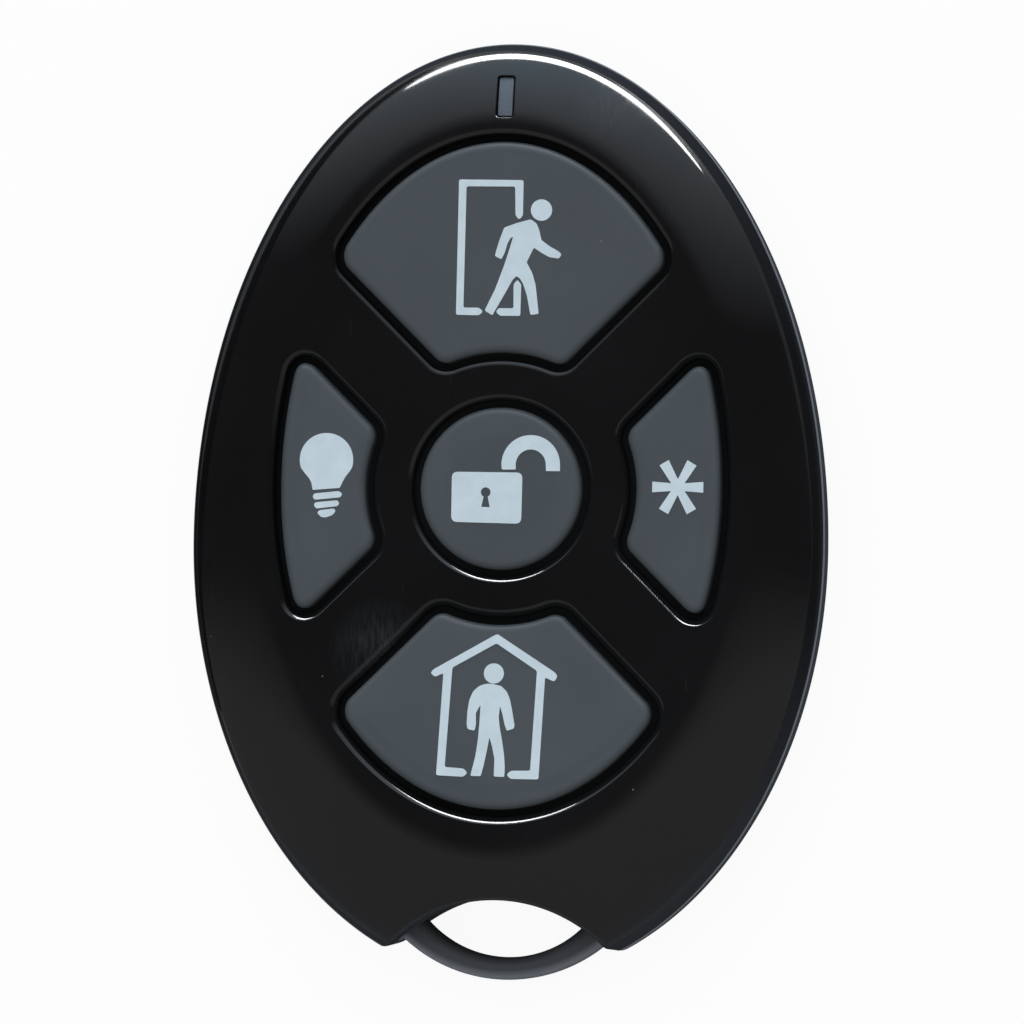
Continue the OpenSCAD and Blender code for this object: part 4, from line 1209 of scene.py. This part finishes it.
class FOB_OT_signs(bpy.types.Operator):
    """Print the generic signs on the keys: leave, open lock, stay, lamp and star"""

    bl_idname = "fob.signs"
    bl_label = "Signs"

    def execute(self, context):
        finish = sign_ink(context.scene.fob_finish)
        rise = context.scene.fob_sizes.sign_rise / MM
        for name, parts in SIGNS.items():
            bm = bmesh.new()
            for (outer, *holes), softness in parts:
                loops = [split_long(soften(outer, softness))] + [split_long(np.array(hole)) for hole in holes]
                fill(bm, [ring(bm, lift(loop + SIGN_PLACES[name], 0.0)) for loop in loops])
            printed = bmesh.ops.extrude_face_region(bm, geom=bm.faces[:], use_keep_orig=True)["geom"]
            raised = {v for v in printed if isinstance(v, bmesh.types.BMVert)}
            for vert in bm.verts:
                top = dish_height(np.array([vert.co[:2]]) / MM)[0] + KEY_PROUD
                vert.co.z = (top + rise if vert in raised else top - 2 * rise) * MM
            place_piece(bm, name + "_sign", name + "_button", finish)
        return {"FINISHED"}


class FOB_OT_status_light(bpy.types.Operator):
    """Build the milky window of the status light, sunk in its slot"""

    bl_idname = "fob.status_light"
    bl_label = "Status light"

    def execute(self, context):
        bm = bmesh.new()
        low, high = PIPE_FLANGE_Z
        stem, flange = slot_outline(-PIPE_GAP), slot_outline(PIPE_FLANGE)
        loops = [lift(stem, PIPE_FOOT), lift(stem, low), lift(flange, low), lift(flange, high),
                 lift(stem, high)]
        for offset, drop in rounding(PIPE_ROUND, 4):
            loops.append(drape(slot_outline(-PIPE_GAP - offset), face_height, SLOT_RECESS + drop))
        middle = np.array([0, SLOT_Y])
        for share in (0.7, 0.35):
            loop = middle + share * (slot_outline(-PIPE_GAP - PIPE_ROUND) - middle)
            loops.append(drape(loop, face_height, SLOT_RECESS))
        loft(bm, [self.matched(points, len(stem)) for points in loops])
        place_piece(bm, "status_window", "case", frosted_window(context.scene.fob_finish),
                    ["light_pipe"])
        return {"FINISHED"}

    def matched(self, points, count):
        """The same loop with a given number of points, so that rings join point to point."""
        places = np.linspace(0, len(points), count, endpoint=False)
        closed = np.vstack([points, points[:1]])
        return np.stack([np.interp(places, np.arange(len(closed)), closed[:, k]) for k in range(3)], 1)


class FOB_OT_case_screws(bpy.types.Operator):
    """Build the two equal screws with their cross recesses"""

    bl_idname = "fob.case_screws"
    bl_label = "Case screws"

    def execute(self, context):
        bm = bmesh.new()
        low = SCREW_SEAT - SCREW_HEAD_H
        profile = [(SCREW_HEAD_R - 0.35, low), (SCREW_HEAD_R - 0.12, low + 0.06), (SCREW_HEAD_R, low + 0.25),
                   (SCREW_HEAD_R, SCREW_SEAT), (SCREW_R, SCREW_SEAT)]
        for k, height in enumerate(np.linspace(SCREW_SEAT + 0.1, SCREW_TIP - 0.6, 2 * SCREW_RIDGES)):
            profile.append((SCREW_R if k % 2 else SCREW_R - 0.2, height))
        profile.append((0.25, SCREW_TIP))
        for place in SCREW_PLACES:
            rings = turned(bm, place, profile)
            skin(bm, rings)
            cap(bm, rings[-1])
            mouth = ring(bm, lift(self.cross(*CROSS_MOUTH) + np.array(place), low))
            floor = ring(bm, lift(self.cross(*CROSS_FLOOR) + np.array(place), low + CROSS_DEPTH))
            fill(bm, [rings[0], mouth])
            skin(bm, [mouth, floor])
            cap(bm, floor)
        steel = inner_finish("screw steel", (150, 152, 156), 0.32, 1.0, 5000.0, 0.1)
        place_piece(bm, "case_screw_pair", "case", steel, ["case_screws"])
        return {"FINISHED"}

    def cross(self, half, reach):
        """Outline of a cross recess."""
        corner = [Vector((reach, -half)), Vector((reach, half)), Vector((half, half))]
        return np.array([Matrix.Rotation(k * math.pi / 2, 2) @ point for k in range(4) for point in corner])


# Finishes inside the case by slot: display colour, roughness, metal, grain per metre and bump
INNER_FINISHES = {
    "mat_silicone": ((38, 40, 43), 0.7, 0.0, 7000.0, 0.2),
    "board_laminate": ((24, 78, 46), 0.42, 0.0, 3000.0, 0.1),
    "led_epoxy": ((226, 226, 208), 0.3, 0.0, 6000.0, 0.05),
    "cell_steel": ((178, 180, 182), 0.28, 1.0, 5000.0, 0.06),
    "plated_strip": ((196, 194, 186), 0.3, 1.0, 6000.0, 0.06),
    "chip_epoxy": ((26, 26, 28), 0.55, 0.0, 8000.0, 0.15),
    "plunger_nylon": ((214, 208, 190), 0.5, 0.0, 6000.0, 0.08),
    "antenna_brass": ((190, 158, 92), 0.3, 1.0, 5000.0, 0.08),
    "capacitor_ceramic": ((168, 136, 98), 0.5, 0.0, 9000.0, 0.1),
}


class FOB_OT_inner_parts(bpy.types.Operator):
    """Give the carried-over parts inside the case their finishes"""

    bl_idname = "fob.inner_parts"
    bl_label = "Inner parts"

    def execute(self, context):
        made = {slot: inner_finish(slot.replace("_", " "), *row) for slot, row in INNER_FINISHES.items()}
        slots = {part["node"]: part["material_slot"] for part in frame["record"]["subparts"]}
        for name, node in frame["nodes"].items():
            finish = made.get(slots[name])
            if finish and not node.hide_render:
                node.data.materials.clear()
                node.data.materials.append(finish)
        return {"FINISHED"}


# Stage, in metres. The floor glows for the camera, and gives reflections a share of that.
FLOOR_HALF = 0.8
FLOOR_DROP = 0.0001
FLOOR_GLOW = 0.93
FLOOR_MIRRORED = 0.35
CARD_PLACE = (-0.062, 0.057, 0.0055)
CARD_SIZE = (0.011, 0.164, 1.0, 1.0)
SOFT_SIZE, SOFT_PLACE, SOFT_AIM = (0.6, 0.6), (0.0, 0.05, 0.7), (0.0, 0.0, 0.0)
STRIP_SIZE, STRIP_PLACE, STRIP_AIM = (1.71, 0.125), (0.107, 1.0, 0.101), (0.0, 0.028, 0.01)
SKY_PALE, SKY_BLUE = (0.97, 0.98, 1.0, 1.0), (0.66, 0.84, 1.0, 1.0)
SKY_DIM, SKY_NOSE, SKY_TAIL = 0.08, 1.85, 0.28
SKY_NARROW, SKY_SKEW = 0.3, 0.03
NOSE_LIMITS, TAIL_LIMITS = (0.1, 0.97), (-0.05, -0.22)
BACKDROP = 0.98
SENSOR_WIDTH = 36.0


def floor_finish(colour):
    """Pale floor that keeps the fob's shadow: white to the camera, about a third as white in reflections."""
    f = Finish("pale floor")
    base = f.mix(f.grain(900.0, 12.0)["Tone"], shade(colour, 0.99), shade(colour))
    rays = f.node("ShaderNodeLightPath").outputs
    mirrored = f.larger(rays["Is Glossy Ray"], rays["Is Transmission Ray"])
    seen = f.larger(rays["Is Camera Ray"], f.product(mirrored, FLOOR_MIRRORED))
    glow = f.node("ShaderNodeEmission", {"Color": WHITE, "Strength": 1.0}).outputs["Emission"]
    shares = {0: f.product(seen, FLOOR_GLOW), 1: f.shader.outputs["BSDF"], 2: glow}
    joined = f.node("ShaderNodeMixShader", shares)
    f.plug(joined.outputs["Shader"], f.tree.nodes["Material Output"].inputs["Surface"])
    return f.done({"Base Color": base, "Roughness": 0.9, "Specular IOR Level": 0.1})


def stage_sheet(name, cells, size, matrix, finish):
    """A flat sheet that belongs to the stage."""
    bm = bmesh.new()
    bmesh.ops.create_grid(bm, x_segments=cells, y_segments=cells, size=size, matrix=matrix)
    made = mesh_object(bm, name, finish)
    return made


def area_light(name, shape, power, size, place, aim):
    """A flat light that faces a point."""
    lamp = bpy.data.lights.new(name, "AREA")
    lamp.shape = shape
    lamp.size, lamp.size_y = size
    lamp.energy = power
    made = add_object(name, lamp)
    made.location = place
    made.rotation_euler = (Vector(place) - Vector(aim)).to_track_quat("Z", "Y").to_euler()
    return made


class FOB_OT_stage(bpy.types.Operator):
    """Set up the camera, the pale floor and the soft lights"""

    bl_idname = "fob.stage"
    bl_label = "Stage"

    def execute(self, context):
        studio = context.scene.fob_studio
        self.camera(context, studio)
        below = Matrix.Translation((0, 0, -FLOOR_DROP))
        stage_sheet("studio_floor", 8, FLOOR_HALF, below, floor_finish(studio.floor))
        self.card()
        self.world(context)
        soft = area_light("soft overhead", "RECTANGLE", studio.soft_power, SOFT_SIZE, SOFT_PLACE, SOFT_AIM)
        soft.visible_glossy = False
        strip = area_light("strip beyond the nose", "ELLIPSE", studio.strip_power,
                           STRIP_SIZE, STRIP_PLACE, STRIP_AIM)
        strip.visible_diffuse = False
        context.scene.view_settings.view_transform = "Standard"
        return {"FINISHED"}

    def card(self):
        """Dark card on the left, outside the picture, that keeps the floor out of the cover's left edge."""
        upright = Matrix.Rotation(math.pi / 2, 4, "Y") @ Matrix.Diagonal(CARD_SIZE)
        finish = inner_finish("dark card", (20, 20, 21), 0.9, 0.0, 3000.0, 0.1)
        made = stage_sheet("studio_card", 1, 0.5, Matrix.Translation(CARD_PLACE) @ upright, finish)
        made.visible_camera = made.visible_diffuse = made.visible_shadow = False

    def camera(self, context, studio):
        """Camera at the angle of the photograph."""
        side, nose = studio.lean_side, studio.lean_nose
        back = Vector((math.sin(side) * math.cos(nose), math.sin(nose), math.cos(side) * math.cos(nose)))
        up = Vector((0, 1, 0))
        up = (up - back * up.dot(back)).normalized()
        roll = Matrix.Rotation(studio.roll, 3, back)
        axes = Matrix((roll @ up.cross(back), roll @ up, back)).transposed()
        made = add_object("camera", bpy.data.cameras.new("camera"))
        made.matrix_world = Matrix.Translation(Vector(studio.aim) + back * studio.distance) @ axes.to_4x4()
        made.data.sensor_width = SENSOR_WIDTH
        made.data.lens = studio.lens
        made.data.clip_start = 0.01
        context.scene.camera = made

    def world(self, context):
        """Dim studio, lighter beyond the nose and behind the tail, with a white backdrop for the camera."""
        made = bpy.data.worlds.new("studio")
        made.use_nodes = True
        context.scene.world = made
        w = Wiring(made.node_tree)
        toward = w.split(w.node("ShaderNodeTexCoord").outputs["Generated"])
        across = w.math("SUBTRACT", w.product(w.math("ABSOLUTE", toward["X"]), SKY_NARROW),
                        w.product(toward["X"], SKY_SKEW))
        nose = w.between(w.math("SUBTRACT", toward["Y"], across), *NOSE_LIMITS)
        tail = w.between(toward["Y"], *TAIL_LIMITS, 0.0, SKY_TAIL)
        glow = w.math("ADD", w.math("MULTIPLY_ADD", nose, SKY_NOSE, tail), SKY_DIM)
        seen = w.node("ShaderNodeLightPath").outputs["Is Camera Ray"]
        ground = made.node_tree.nodes["Background"].inputs
        w.plug(w.mix(seen, w.mix(nose, SKY_PALE, SKY_BLUE), WHITE), ground["Color"])
        w.plug(w.between(seen, 0.0, 1.0, glow, BACKDROP), ground["Strength"])


STEPS = (FOB_OT_front_cover, FOB_OT_rear_cover, FOB_OT_keys, FOB_OT_signs, FOB_OT_status_light,
         FOB_OT_case_screws, FOB_OT_inner_parts, FOB_OT_stage)


class FOB_PT_panel(bpy.types.Panel):
    """Sizes, finishes and building steps of the key fob"""

    bl_idname = "FOB_PT_panel"
    bl_label = "Alarm key fob"
    bl_space_type = "VIEW_3D"
    bl_region_type = "UI"
    bl_category = "Key fob"

    def draw(self, context):
        for group in (context.scene.fob_sizes, context.scene.fob_finish, context.scene.fob_studio):
            box = self.layout.box()
            for key in group.__annotations__:
                box.prop(group, key)
        for step in STEPS:
            self.layout.operator(step.bl_idname)


GROUPS = {"fob_sizes": FobSizes, "fob_finish": FobFinish, "fob_studio": FobStudio}


def register():
    """Registers the classes and adds their settings to the scene."""
    for item in (*GROUPS.values(), *STEPS, FOB_PT_panel):
        bpy.utils.register_class(item)
    for key, group in GROUPS.items():
        setattr(bpy.types.Scene, key, PointerProperty(type=group))


def unregister():
    """Takes the settings and the classes away again."""
    for key in GROUPS:
        delattr(bpy.types.Scene, key)
    for item in reversed((*GROUPS.values(), *STEPS, FOB_PT_panel)):
        bpy.utils.unregister_class(item)


def main():
    """Builds every piece in order."""
    register()
    bpy.ops.fob.front_cover()
    bpy.ops.fob.rear_cover()
    bpy.ops.fob.keys()
    bpy.ops.fob.signs()
    bpy.ops.fob.status_light()
    bpy.ops.fob.case_screws()
    bpy.ops.fob.inner_parts()
    bpy.ops.fob.stage()


if __name__ == "__main__":
    main()
